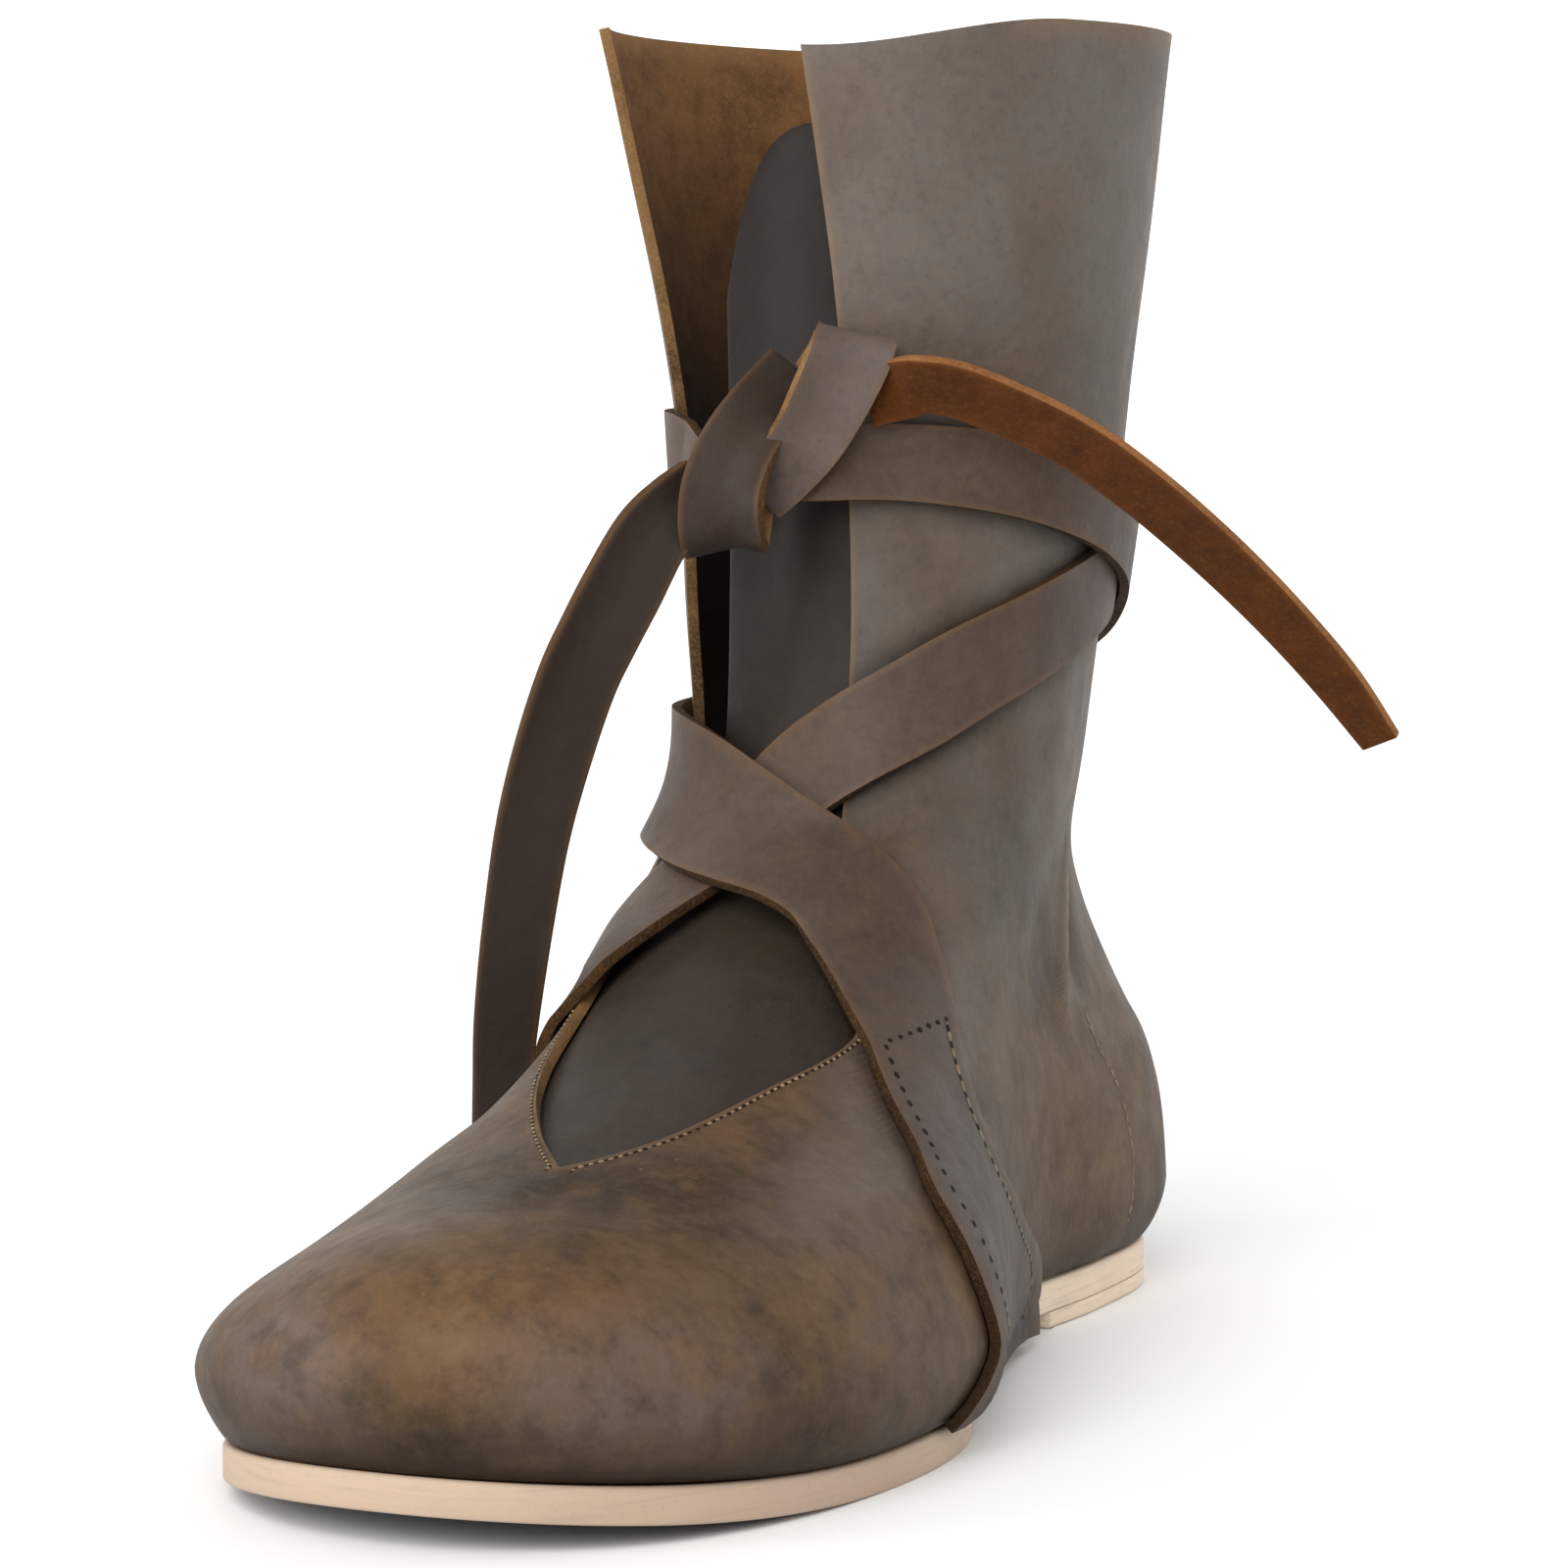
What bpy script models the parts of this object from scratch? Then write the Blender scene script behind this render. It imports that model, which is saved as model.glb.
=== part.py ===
"""Medieval wrap boot for the left foot, standing empty on its sole.

Metres, +Z up. The toe points to -Y and the outer side of the foot is +X. The origin is on the floor under
the middle of the heel. Sizes below are in millimetres.
"""

import bisect
import math
from collections import namedtuple
from functools import lru_cache

import bpy
from mathutils import Vector

MM = 0.001

# Driving sizes of the boot
TOE_Y = -249.0            # toe end of the sole
HEEL_Y = 36.0             # back end of the sole
SOLE_THICK = 6.0
SOLE_EDGE = 0.9           # rounding of the cut edges of sole and lift
LIFT_THICK = 3.0          # leather lift under the heel
LIFT_FRONT_Y = -44.0      # front edge of the lift
TREAD_BACK_Y = -118.0     # back end of the flat tread
TOE_SPRING = 6.0          # rise of the toe end above the floor
SPRING_Y = -175.0         # where the toe starts to rise
WAIST_RISE = 1.2          # hollow of the sole between its two flat spots
SEAM_GAP = 0.3            # clearance where two pieces meet
WALL = 2.0                # leather of the upper
TONGUE_THICK = 1.8
TONGUE_GAP = 0.75
STRAP_THICK = 2.2
STRAP_LIFT = 0.8          # clearance of a strap over the upper
STRAP_OVER = 3.7          # lift of a strap that passes over the other one
END_THICK = 2.0           # the straps are skived thinner at their ends
INSOLE_THICK = 2.5
INSOLE_INSET = 4.5        # from the outline of the sole
SIDE_SWELL = 4.5          # how far the upper swells past the sole
# Exponents of the arch over the foot, 2 and 2 being an ellipse
ARCH = {"lateral": (2.5, 2.2), "medial": (1.9, 1.55)}
COLLAR_Z = 243.8
FLAP_FLARE = 13.0         # how far the inner front flap stands open at the collar
FLAP_Z = 168.0            # where the flap starts to open
FLAP_WAY = (-0.5, -0.87)  # direction in which it opens, inwards and forwards
COLLAR_DIP = 5.0          # the outer front corner of the collar is this much lower

# Steps of the meshes
SIDE_STEPS = 18           # columns of the upper on each side, front to back
ROWS_PER_RING = 3         # rows of the upper between two rings
SOLE_STEPS = 34
INNER_SOLE_STEPS = 22     # for the pieces that lie against the outsole
SOLE_CROSS = 4
TONGUE_ROWS = 22
TONGUE_COLUMNS = 8
FOOT_STEPS = 9
STRAP_STEPS = 50
STRAP_CROSS = 6
RIBBON_STEPS = 22
RIBBON_CROSS = 2
KNOT_STEPS = 24

# Half widths of the sole. turn runs from 0 at the toe to 1 at the heel, as the angle round the outline.
Outline = namedtuple("Outline", "turn lateral medial")
SOLE_OUTLINE = (
    Outline(0.0, 0.0, 0.0),
    Outline(0.1, 22.3, 27.0),
    Outline(0.2, 40.7, 45.8),
    Outline(0.3, 51.6, 53.7),
    Outline(0.4, 54.0, 52.5),
    Outline(0.5, 41.0, 39.0),
    Outline(0.6, 31.5, 31.0),
    Outline(0.7, 34.3, 32.5),
    Outline(0.8, 33.2, 32.2),
    Outline(0.9, 19.6, 20.0),
    Outline(1.0, 0.0, 0.0),
)

# Sections of the upper from the sole to the collar. leg blends the shape of the foot into an oval leg,
# whose half widths are lateral and medial; egg makes the oval narrower at the back than at the front.
Ring = namedtuple("Ring", "name front_y front_z back_y back_z lateral medial egg leg")
RINGS = (
    Ring("feather", -248.0, 6.3, 35.0, 9.6, 40.0, 40.0, 0.0, 0.0),
    Ring("swell", -253.5, 18.0, 42.0, 21.0, 40.0, 40.0, 0.0, 0.0),
    Ring("toe", -248.5, 32.0, 41.2, 36.0, 40.0, 40.0, 0.1, 0.08),
    Ring("crown", -229.0, 43.0, 36.9, 48.0, 39.0, 40.0, 0.15, 0.25),
    Ring("throat", -192.0, 50.5, 32.0, 57.0, 35.5, 37.0, 0.2, 0.45),
    Ring("vamp", -158.0, 62.0, 29.3, 66.0, 31.6, 40.0, 0.25, 0.6),
    Ring("instep", -128.0, 75.0, 27.6, 78.0, 30.0, 40.0, 0.3, 0.78),
    Ring("ankle", -101.0, 90.0, 26.5, 91.0, 29.5, 36.0, 0.34, 0.92),
    Ring("shin", -86.0, 108.0, 26.5, 108.0, 31.5, 34.5, 0.3, 1.0),
    Ring("low_leg", -77.0, 140.0, 27.0, 140.0, 34.5, 41.5, 0.2, 1.0),
    Ring("mid_leg", -74.5, 185.0, 28.5, 185.0, 39.3, 47.0, 0.12, 1.0),
    Ring("collar", -75.0, COLLAR_Z, 31.0, COLLAR_Z, 45.0, 53.2, 0.05, 1.0),
)
THROAT_RING = 4           # the V of the throat starts on this ring
TOP_RING = len(RINGS) - 1

# Front edges of the upper above the V, as turns from the front of the ring (minus is the inner side)
Edge = namedtuple("Edge", "ring outer inner")
FRONT_EDGES = (
    Edge(4.0, 0.0, 0.0),
    Edge(4.33, 0.065, -0.085),
    Edge(4.75, 0.13, -0.165),
    Edge(5.25, 0.215, -0.225),
    Edge(6.0, 0.2, -0.255),
    Edge(7.1, 0.09, -0.262),
    Edge(8.0, 0.055, -0.27),
    Edge(9.0, 0.037, -0.28),
    Edge(10.0, 0.012, -0.3),
    Edge(11.0, -0.035, -0.32),
)

# Half width of the tongue, as a turn of the ring
TongueWidth = namedtuple("TongueWidth", "ring reach")
TONGUE_WIDTHS = (
    TongueWidth(3.4, 0.16),
    TongueWidth(5.0, 0.24),
    TongueWidth(6.0, 0.31),
    TongueWidth(8.0, 0.3),
    TongueWidth(11.0, 0.27),
)
TONGUE_TOP = 10.75        # ring at the middle of its rounded top
TONGUE_CORNER = 0.6       # how far its corners lie below that

# Foot of each strap, sewn flat to the quarter: it spreads from the instep down to the sole. front and rear
# are the turns of its two edges.
Foot = namedtuple("Foot", "front front_level rear rear_level lift")
FOOT_LATERAL = (
    Foot(0.406, 0.45, 0.618, 0.2, 0.9),
    Foot(0.411, 0.75, 0.600, 0.7, 1.1),
    Foot(0.410, 1.0, 0.580, 1.0, 1.1),
    Foot(0.392, 1.7, 0.530, 1.7, 1.1),
    Foot(0.372, 2.6, 0.480, 2.6, 1.1),
    Foot(0.340, 3.5, 0.440, 3.5, 1.3),
    Foot(0.275, 4.5, 0.390, 4.5, 1.3),
    Foot(0.228, 5.2, 0.352, 5.2, 1.2),
)
FOOT_MEDIAL = (
    Foot(-0.476, 0.45, -0.650, 0.2, 0.9),
    Foot(-0.480, 0.75, -0.630, 0.7, 1.1),
    Foot(-0.478, 1.0, -0.612, 1.0, 1.1),
    Foot(-0.460, 1.7, -0.570, 1.7, 1.1),
    Foot(-0.435, 2.6, -0.530, 2.6, 1.1),
    Foot(-0.400, 3.5, -0.490, 3.5, 1.2),
    Foot(-0.330, 4.5, -0.435, 4.5, 1.5),
    Foot(-0.258, 5.2, -0.380, 5.2, 1.9),
)

# Run of each strap from its foot: it crosses the instep and winds once round the leg to the knot. turn goes
# on past 1 or -1 behind the leg.
Strap = namedtuple("Strap", "turn level half lift")
STRAP_LATERAL = (
    Strap(0.290, 5.2, 13.5, 1.0),
    Strap(0.190, 6.2, 12.5, 1.5),
    Strap(0.090, 6.8, 12.0, STRAP_OVER),
    Strap(-0.090, 7.4, 12.0, STRAP_OVER),
    Strap(-0.270, 7.75, 11.5, STRAP_OVER),
    Strap(-0.500, 8.05, 9.5, STRAP_LIFT),
    Strap(-0.750, 8.35, 8.8, STRAP_LIFT),
    Strap(-1.000, 8.62, 8.5, 1.1),
    Strap(-1.180, 8.85, 8.3, STRAP_OVER),
    Strap(-1.350, 9.08, 8.1, STRAP_OVER),
    Strap(-1.500, 9.27, 8.0, STRAP_OVER),
    Strap(-1.620, 9.40, 8.0, STRAP_OVER),
    Strap(-1.750, 9.50, 7.5, 1.5),
    Strap(-1.900, 9.55, 7.0, 1.5),
    Strap(-2.030, 9.54, 7.0, STRAP_OVER),
)
STRAP_MEDIAL = (
    Strap(-0.319, 5.2, 13.5, 1.9),
    Strap(-0.215, 6.2, 12.0, 1.4),
    Strap(-0.103, 7.1, 10.5, STRAP_LIFT),
    Strap(0.010, 7.95, 9.0, STRAP_LIFT),
    Strap(0.150, 8.42, 8.5, STRAP_LIFT),
    Strap(0.275, 8.70, 8.3, STRAP_LIFT),
    Strap(0.475, 8.97, 8.3, STRAP_LIFT),
    Strap(0.750, 9.20, 8.2, STRAP_LIFT),
    Strap(1.000, 9.38, 8.0, STRAP_LIFT),
    Strap(1.300, 9.53, 8.0, STRAP_LIFT),
    Strap(1.500, 9.60, 7.5, STRAP_LIFT),
    Strap(1.680, 9.60, 7.0, STRAP_LIFT),
    Strap(1.770, 9.56, 7.0, 1.5),
    Strap(1.890, 9.50, 7.0, 4.4),
)
RUN_START = 0.55          # the first row of a run only gives its direction

# The knot on the front of the leg: a flat roll of strap that lies on the ends of the two straps
KNOT_TURN, KNOT_LEVEL = -0.07, 9.45
KNOT_OFF = 13.9           # from the outside of the leg to the middle of the knot
KNOT_LONG, KNOT_DEEP, KNOT_WIDE = 17.0, 8.0, 7.0   # half sizes
KNOT_LEAN = math.radians(33)   # of its length, from upright towards the outer side
KNOT_EDGE = 1.6

# Strap that hangs free of the boot. face is the way its outer side looks.
FORWARD, BACKWARD, UPWARD = (0.39, -0.92, 0.0), (-0.39, 0.92, 0.0), (0.1, -0.2, 1.0)
DOWNWARD = (-0.2, -0.7, -0.65)
Free = namedtuple("Free", "x y z half face")
STRAP_LOOP = (
    Free(0.0, -95.6, 166.5, 6.5, FORWARD),
    Free(3.2, -94.2, 172.5, 6.8, FORWARD),
    Free(6.0, -91.3, 178.5, 7.0, FORWARD),
    Free(8.0, -88.3, 183.0, 7.0, FORWARD),
    Free(8.8, -84.8, 185.7, 7.0, UPWARD),
    Free(7.0, -81.0, 183.0, 7.0, BACKWARD),
    Free(3.5, -81.8, 179.5, 6.8, BACKWARD),
)
STRAP_END_OUTER = (
    Free(15.2, -81.4, 176.0, 4.4, FORWARD),
    Free(20.0, -80.6, 177.3, 5.0, DOWNWARD),
    Free(27.2, -79.0, 176.0, 5.5, DOWNWARD),
    Free(38.7, -72.9, 170.4, 5.6, DOWNWARD),
    Free(46.6, -66.3, 165.0, 5.6, DOWNWARD),
    Free(54.7, -59.7, 157.7, 5.6, DOWNWARD),
    Free(61.6, -52.4, 150.1, 5.6, DOWNWARD),
    Free(68.7, -45.1, 141.6, 5.5, DOWNWARD),
    Free(75.8, -37.8, 132.3, 5.2, DOWNWARD),
    Free(83.0, -30.4, 121.8, 5.0, DOWNWARD),
    Free(89.4, -23.4, 110.6, 4.0, DOWNWARD),
)
STRAP_END_INNER = (
    Free(-18.8, -98.6, 155.7, 6.0, FORWARD),
    Free(-23.0, -100.0, 151.3, 6.5, FORWARD),
    Free(-27.6, -99.7, 144.2, 6.8, FORWARD),
    Free(-32.9, -100.8, 135.3, 7.0, FORWARD),
    Free(-38.2, -101.9, 123.8, 7.0, FORWARD),
    Free(-42.7, -102.8, 110.8, 7.0, FORWARD),
    Free(-46.7, -103.4, 96.2, 6.8, FORWARD),
    Free(-49.8, -103.6, 79.2, 6.5, FORWARD),
    Free(-52.2, -103.5, 62.2, 6.0, FORWARD),
    Free(-53.4, -102.9, 50.5, 5.5, FORWARD),
    Free(-54.4, -102.2, 37.0, 5.0, FORWARD),
    Free(-54.8, -101.3, 26.1, 4.0, FORWARD),
)


def smooth(xs, ys, x):
    """Value at x on the smooth curve through the points (xs, ys)."""
    last = len(xs) - 1
    i = max(0, min(last - 1, bisect.bisect_right(xs, x) - 1))

    def slope(k):
        low, high = max(k - 1, 0), min(k + 1, last)
        return (ys[high] - ys[low]) / (xs[high] - xs[low])

    span = xs[i + 1] - xs[i]
    u = max(0.0, min(1.0, (x - xs[i]) / span))
    rise = ys[i + 1] - ys[i]
    start, end = slope(i) * span, slope(i + 1) * span
    return ys[i] + u * (start + u * ((3 * rise - 2 * start - end) + u * (start + end - 2 * rise)))


def column(rows, name):
    return tuple(getattr(row, name) for row in rows)


def read(rows, key, name, at):
    """A column of a table, read at a value of its key column."""
    return smooth(column(rows, key), column(rows, name), at)


def mix(a, b, share):
    return a + (b - a) * share


def ease(share):
    share = max(0.0, min(1.0, share))
    return share * share * (3 - 2 * share)


def along(turn):
    """Share of the length from front to back at a turn."""
    return (1 - math.cos(math.pi * abs(turn))) / 2


def side_name(turn):
    return "lateral" if turn >= 0 else "medial"


def toe_rise(y):
    past = max(0.0, (SPRING_Y - y) / (SPRING_Y - TOE_Y))
    return TOE_SPRING * past * past


def sole_bottom(y):
    """Underside of the sole before the toe is sprung: flat tread, hollow waist, heel seat on its lift."""
    share = (y - TREAD_BACK_Y) / (LIFT_FRONT_Y - TREAD_BACK_Y)
    hollow = WAIST_RISE * math.sin(math.pi * max(0.0, min(1.0, share))) ** 2
    return ease(share) * (LIFT_THICK + SEAM_GAP) + hollow


def sole_half_width(turn):
    return read(SOLE_OUTLINE, "turn", side_name(turn), abs(turn))


@lru_cache(maxsize=None)
def ring_at(level):
    """The section at a level, which counts rings from the sole up."""
    rows = range(len(RINGS))
    return Ring("", *(smooth(rows, column(RINGS, name), level) for name in Ring._fields[1:]))


@lru_cache(maxsize=None)
def ridge_line():
    """Top line of the foot from the toe to the shin, as matching lists of y and z."""
    steps = 160
    rings = [ring_at(1 + 8 * k / steps) for k in range(steps + 1)]
    behind = RINGS[8].front_y / 2
    return [r.front_y for r in rings] + [behind], [r.front_z for r in rings] + [COLLAR_Z]


def ridge_z(y):
    ys, zs = ridge_line()
    i = max(0, min(len(ys) - 2, bisect.bisect_right(ys, y) - 1))
    share = max(0.0, min(1.0, (y - ys[i]) / (ys[i + 1] - ys[i])))
    return mix(zs[i], zs[i + 1], share)


def swell_share(turn):
    """Share of the swell past the sole, none at the very ends of the outline."""
    return math.sin(math.pi * abs(turn)) ** 0.7


def foot_half_width(y, z, turn):
    """Half width of the foot at a place: the swollen outline of the sole under a rounded arch."""
    swell = RINGS[1]
    share = max(0.0, min(1.0, (y - swell.front_y) / (swell.back_y - swell.front_y)))
    angle = math.acos(1 - 2 * share) / math.pi
    full = sole_half_width(math.copysign(angle, turn)) + SIDE_SWELL * swell_share(angle)
    low = mix(swell.front_z, swell.back_z, share)
    height = max(0.0, min(1.0, (z - low) / max(0.001, ridge_z(y) - low)))
    fullness, roundness = ARCH[side_name(turn)]
    return full * (1 - height ** fullness) ** (1 / roundness)


def boot(turn, level, flap=False):
    """A point on the outside of the boot, in millimetres. flap opens the inner front of the leg."""
    if abs(turn) > 1:
        turn -= math.copysign(2, turn)
    ring = ring_at(level)
    share = along(turn)
    y = mix(ring.front_y, ring.back_y, share)
    z = mix(ring.front_z, ring.back_z, share)
    arc = math.sin(math.pi * abs(turn))
    if level < 1:
        swell = mix(-1.0, SIDE_SWELL, math.sin(max(0.0, level) * math.pi / 2) ** 0.6)
        half = sole_half_width(turn) + swell * swell_share(turn)
    else:
        oval = getattr(ring, side_name(turn)) * arc * (1 + ring.egg * math.cos(math.pi * turn))
        half = mix(foot_half_width(y, z, turn), oval, ring.leg)
    if level < 2:
        feather = RINGS[0]
        seat = sole_bottom(y) + SOLE_THICK + SEAM_GAP - mix(feather.front_z, feather.back_z, share)
        z += seat * (1 - max(0.0, level) / 2)
    x = math.copysign(half, turn) if turn else 0.0
    if level > TOP_RING - 1 and not flap:
        z -= COLLAR_DIP * (level - TOP_RING + 1) * ease((0.3 - abs(turn)) / 0.3)
    if flap and z > FLAP_Z:
        opened = FLAP_FLARE * ((z - FLAP_Z) / (COLLAR_Z - FLAP_Z)) ** 1.3 * ease((0.62 + turn) / 0.32)
        x += opened * FLAP_WAY[0]
        y += opened * FLAP_WAY[1]
    return Vector((x, y, z + toe_rise(y)))


def slopes(turn, level, flap=False):
    """How the outside of the boot runs per unit of turn and per level."""
    step = 0.004
    high = min(TOP_RING, level + step)
    across = (boot(turn + step, level, flap) - boot(turn - step, level, flap)) / (2 * step)
    up = (boot(turn, high, flap) - boot(turn, level - step, flap)) / (high - level + step)
    return across, up


def skin(turn, level, off, flap=False):
    """A point at a distance off from the outside of the boot, measured square to it."""
    across, up = slopes(turn, level, flap)
    return boot(turn, level, flap) + across.cross(up).normalized() * off


def material(name, colour, roughness):
    made = bpy.data.materials.new(name)
    made.use_nodes = True
    shader = made.node_tree.nodes["Principled BSDF"]
    shader.inputs["Base Color"].default_value = (*colour, 1.0)
    shader.inputs["Roughness"].default_value = roughness
    return made


def add_piece(name, points, faces, look):
    """One object from points in millimetres."""
    mesh = bpy.data.meshes.new(name)
    mesh.from_pydata([tuple(p * MM for p in point) for point in points], [], faces)
    mesh.validate()
    mesh.shade_smooth()
    piece = bpy.data.objects.new(name, mesh)
    bpy.context.collection.objects.link(piece)
    mesh.materials.append(material(name, *look))
    return piece


def thicken(piece, thickness, inward=True):
    """Give a sheet its thickness, on the side away from its normals or towards them."""
    solid = piece.modifiers.new("Thickness", "SOLIDIFY")
    solid.thickness = thickness * MM
    solid.offset = -1.0 if inward else 1.0
    solid.use_even_offset = True


def round_edges(piece, width):
    edge = piece.modifiers.new("Cut edge", "BEVEL")
    edge.width = width * MM
    edge.segments = 2
    edge.limit_method = "ANGLE"
    edge.angle_limit = math.radians(60)


def quads(rows):
    """Faces over rows of point numbers; repeated points in a face are left out."""
    faces = []
    for low, high in zip(rows, rows[1:]):
        for a, b, c, d in zip(low, low[1:], high[1:], high):
            corners = list(dict.fromkeys((a, b, c, d)))
            if len(corners) > 2:
                faces.append(corners)
    return faces


def sole_sheet(name, front_y, inset, floor, steps, look):
    """A flat sheet to the outline of the sole, from front_y back, at the height that floor gives."""
    toe, heel = TOE_Y + inset, HEEL_Y - inset
    first = math.acos(1 - 2 * max(0.0, front_y - toe) / (heel - toe)) / math.pi
    points, rows = [], []
    for k in range(steps + 1):
        turn = mix(first, 1.0, k / steps)
        y = mix(toe, heel, along(turn))
        shrink = inset * math.sin(math.pi * turn)
        outer = sole_half_width(turn) - shrink
        inner = -(sole_half_width(-turn) - shrink) if turn else 0.0
        if outer - inner < SEAM_GAP:
            rows.append([len(points)] * (SOLE_CROSS + 1))
            points.append((0.0, y, floor(y)))
            continue
        rows.append(list(range(len(points), len(points) + SOLE_CROSS + 1)))
        points += [(mix(inner, outer, j / SOLE_CROSS), y, floor(y)) for j in range(SOLE_CROSS + 1)]
    return add_piece(name, points, quads(rows), look)


def make_outsole():
    look = (0.72, 0.53, 0.38), 0.6
    sole = sole_sheet("outsole", TOE_Y, 0.0, lambda y: sole_bottom(y) + toe_rise(y), SOLE_STEPS, look)
    thicken(sole, SOLE_THICK, inward=False)
    round_edges(sole, SOLE_EDGE)


def make_heel_lift():
    look = (0.68, 0.5, 0.36), 0.6
    lift = sole_sheet("heel_lift", LIFT_FRONT_Y, 0.0, lambda y: 0.0, INNER_SOLE_STEPS, look)
    thicken(lift, LIFT_THICK, inward=False)
    round_edges(lift, SOLE_EDGE)


def make_insole():
    look = (0.35, 0.2, 0.11), 0.8
    top = SOLE_THICK + SEAM_GAP
    insole = sole_sheet(
        "insole", TOE_Y, INSOLE_INSET, lambda y: sole_bottom(y) + toe_rise(y) + top, INNER_SOLE_STEPS, look
    )
    thicken(insole, INSOLE_THICK, inward=False)


def make_upper():
    """Vamp, quarters and shaft in one wall: closed rings up to the V, open in front above it."""
    points, rows = [], []
    for i in range(ROWS_PER_RING * TOP_RING + 1):
        level = i / ROWS_PER_RING
        outer = inner = 0.0
        if level > THROAT_RING:
            outer = read(FRONT_EDGES, "ring", "outer", level)
            inner = read(FRONT_EDGES, "ring", "inner", level)
        turns = [mix(outer, 1.0, j / SIDE_STEPS) for j in range(SIDE_STEPS)]
        turns += [mix(-1.0, inner, j / SIDE_STEPS) for j in range(SIDE_STEPS + 1)]
        row = list(range(len(points), len(points) + len(turns)))
        if level <= THROAT_RING:
            turns.pop()
            row[-1] = row[0]
        points += [boot(turn, level, flap=j > SIDE_STEPS) for j, turn in enumerate(turns)]
        rows.append(row)
    upper = add_piece("upper", points, quads(rows), ((0.1, 0.075, 0.06), 0.55))
    thicken(upper, WALL)


def make_tongue():
    points, rows = [], []
    first = TONGUE_WIDTHS[0].ring
    for i in range(TONGUE_ROWS + 1):
        row = []
        for j in range(TONGUE_COLUMNS + 1):
            across = 2 * j / TONGUE_COLUMNS - 1
            level = mix(first, TONGUE_TOP - TONGUE_CORNER * abs(across) ** 3, i / TONGUE_ROWS)
            turn = across * read(TONGUE_WIDTHS, "ring", "reach", level)
            row.append(len(points))
            points.append(skin(turn, level, -(WALL + TONGUE_GAP)))
        rows.append(row)
    tongue = add_piece("tongue", points, quads(rows), ((0.09, 0.075, 0.065), 0.55))
    thicken(tongue, TONGUE_THICK)


def table_point(rows, at):
    """Every column of a table of numbers, read smoothly at a place that counts its rows."""
    return tuple(smooth(range(len(rows)), column(rows, name), at) for name in rows[0]._fields)


def strap_foot(rows):
    """Rows of points over the sewn foot of a strap."""
    grid = []
    for i in range(FOOT_STEPS):
        place = i / FOOT_STEPS * (len(rows) - 1)
        front, front_level, rear, rear_level, lift = table_point(rows, place)
        row = []
        for j in range(STRAP_CROSS + 1):
            share = j / STRAP_CROSS
            row.append(skin(mix(front, rear, share), mix(front_level, rear_level, share), lift))
        grid.append(row if front > 0 else row[::-1])
    return grid


def strap_run(rows):
    """Rows of points over the run of a strap, each row square to the run."""
    grid = []
    ahead = 0.01
    for i in range(STRAP_STEPS + 1):
        at = mix(RUN_START, len(rows) - 1, i / STRAP_STEPS)
        turn, level, half, lift = table_point(rows, at)
        before, after = table_point(rows, at - ahead), table_point(rows, at + ahead)
        across, up = slopes(turn, level)
        run = (across * (after[0] - before[0]) + up * (after[1] - before[1])).normalized()
        side = across.cross(up).normalized().cross(run)
        aa, ab, bb = across.dot(across), across.dot(up), up.dot(up)
        row = []
        for j in range(STRAP_CROSS + 1):
            # the step along the surface that goes this far to the side of the run
            reach = side * half * (1 - 2 * j / STRAP_CROSS)
            ra, rb = reach.dot(across), reach.dot(up)
            area = aa * bb - ab * ab
            d_turn, d_level = (ra * bb - rb * ab) / area, (rb * aa - ra * ab) / area
            row.append(skin(turn + d_turn, level + d_level, lift))
        grid.append(row)
    return grid


def make_strap(name, foot, rows, look):
    """A flat strap that lies on the boot, from its foot to its end under the knot."""
    grid = strap_foot(foot) + strap_run(rows)
    wide = STRAP_CROSS + 1
    numbers = [list(range(i * wide, (i + 1) * wide)) for i in range(len(grid))]
    strap = add_piece(name, sum(grid, []), quads(numbers), look)
    thicken(strap, STRAP_THICK, inward=False)


def make_ribbon(name, rows, look):
    """A free flat strap through its rows, each with the way its outer side looks."""
    places = range(len(rows))
    ahead = 0.02

    def middle(at):
        return Vector(smooth(places, column(rows, name), at) for name in ("x", "y", "z"))

    points, grid = [], []
    for i in range(RIBBON_STEPS + 1):
        at = i / RIBBON_STEPS * (len(rows) - 1)
        face = Vector(smooth(places, axis, at) for axis in zip(*column(rows, "face")))
        run = middle(min(at + ahead, places[-1])) - middle(max(at - ahead, 0.0))
        side = face.cross(run).normalized() * smooth(places, column(rows, "half"), at)
        grid.append(list(range(len(points), len(points) + RIBBON_CROSS + 1)))
        points += [middle(at) + side * (1 - 2 * j / RIBBON_CROSS) for j in range(RIBBON_CROSS + 1)]
    ribbon = add_piece(name, points, quads(grid), look)
    thicken(ribbon, END_THICK)


def make_knot(look):
    across, up = slopes(KNOT_TURN, KNOT_LEVEL)
    outward = across.cross(up).normalized()
    level_way = across.normalized()
    upright = outward.cross(level_way)
    long_way = level_way * math.sin(KNOT_LEAN) + upright * math.cos(KNOT_LEAN)
    wide_way = outward.cross(long_way)
    middle = skin(KNOT_TURN, KNOT_LEVEL, KNOT_OFF)
    points = []
    for end in (-1, 1):
        for k in range(KNOT_STEPS):
            angle = 2 * math.pi * k / KNOT_STEPS
            flat = long_way * (KNOT_LONG * math.cos(angle)) + outward * (KNOT_DEEP * math.sin(angle))
            points.append(middle + flat + wide_way * (KNOT_WIDE * end))
    low, high = list(range(KNOT_STEPS)), list(range(KNOT_STEPS, 2 * KNOT_STEPS))
    faces = [face[::-1] for face in quads([low + low[:1], high + high[:1]])]
    knot = add_piece("knot", points, faces + [low, high[::-1]], look)
    round_edges(knot, KNOT_EDGE)


for old in list(bpy.data.objects):
    bpy.data.objects.remove(old)

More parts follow.
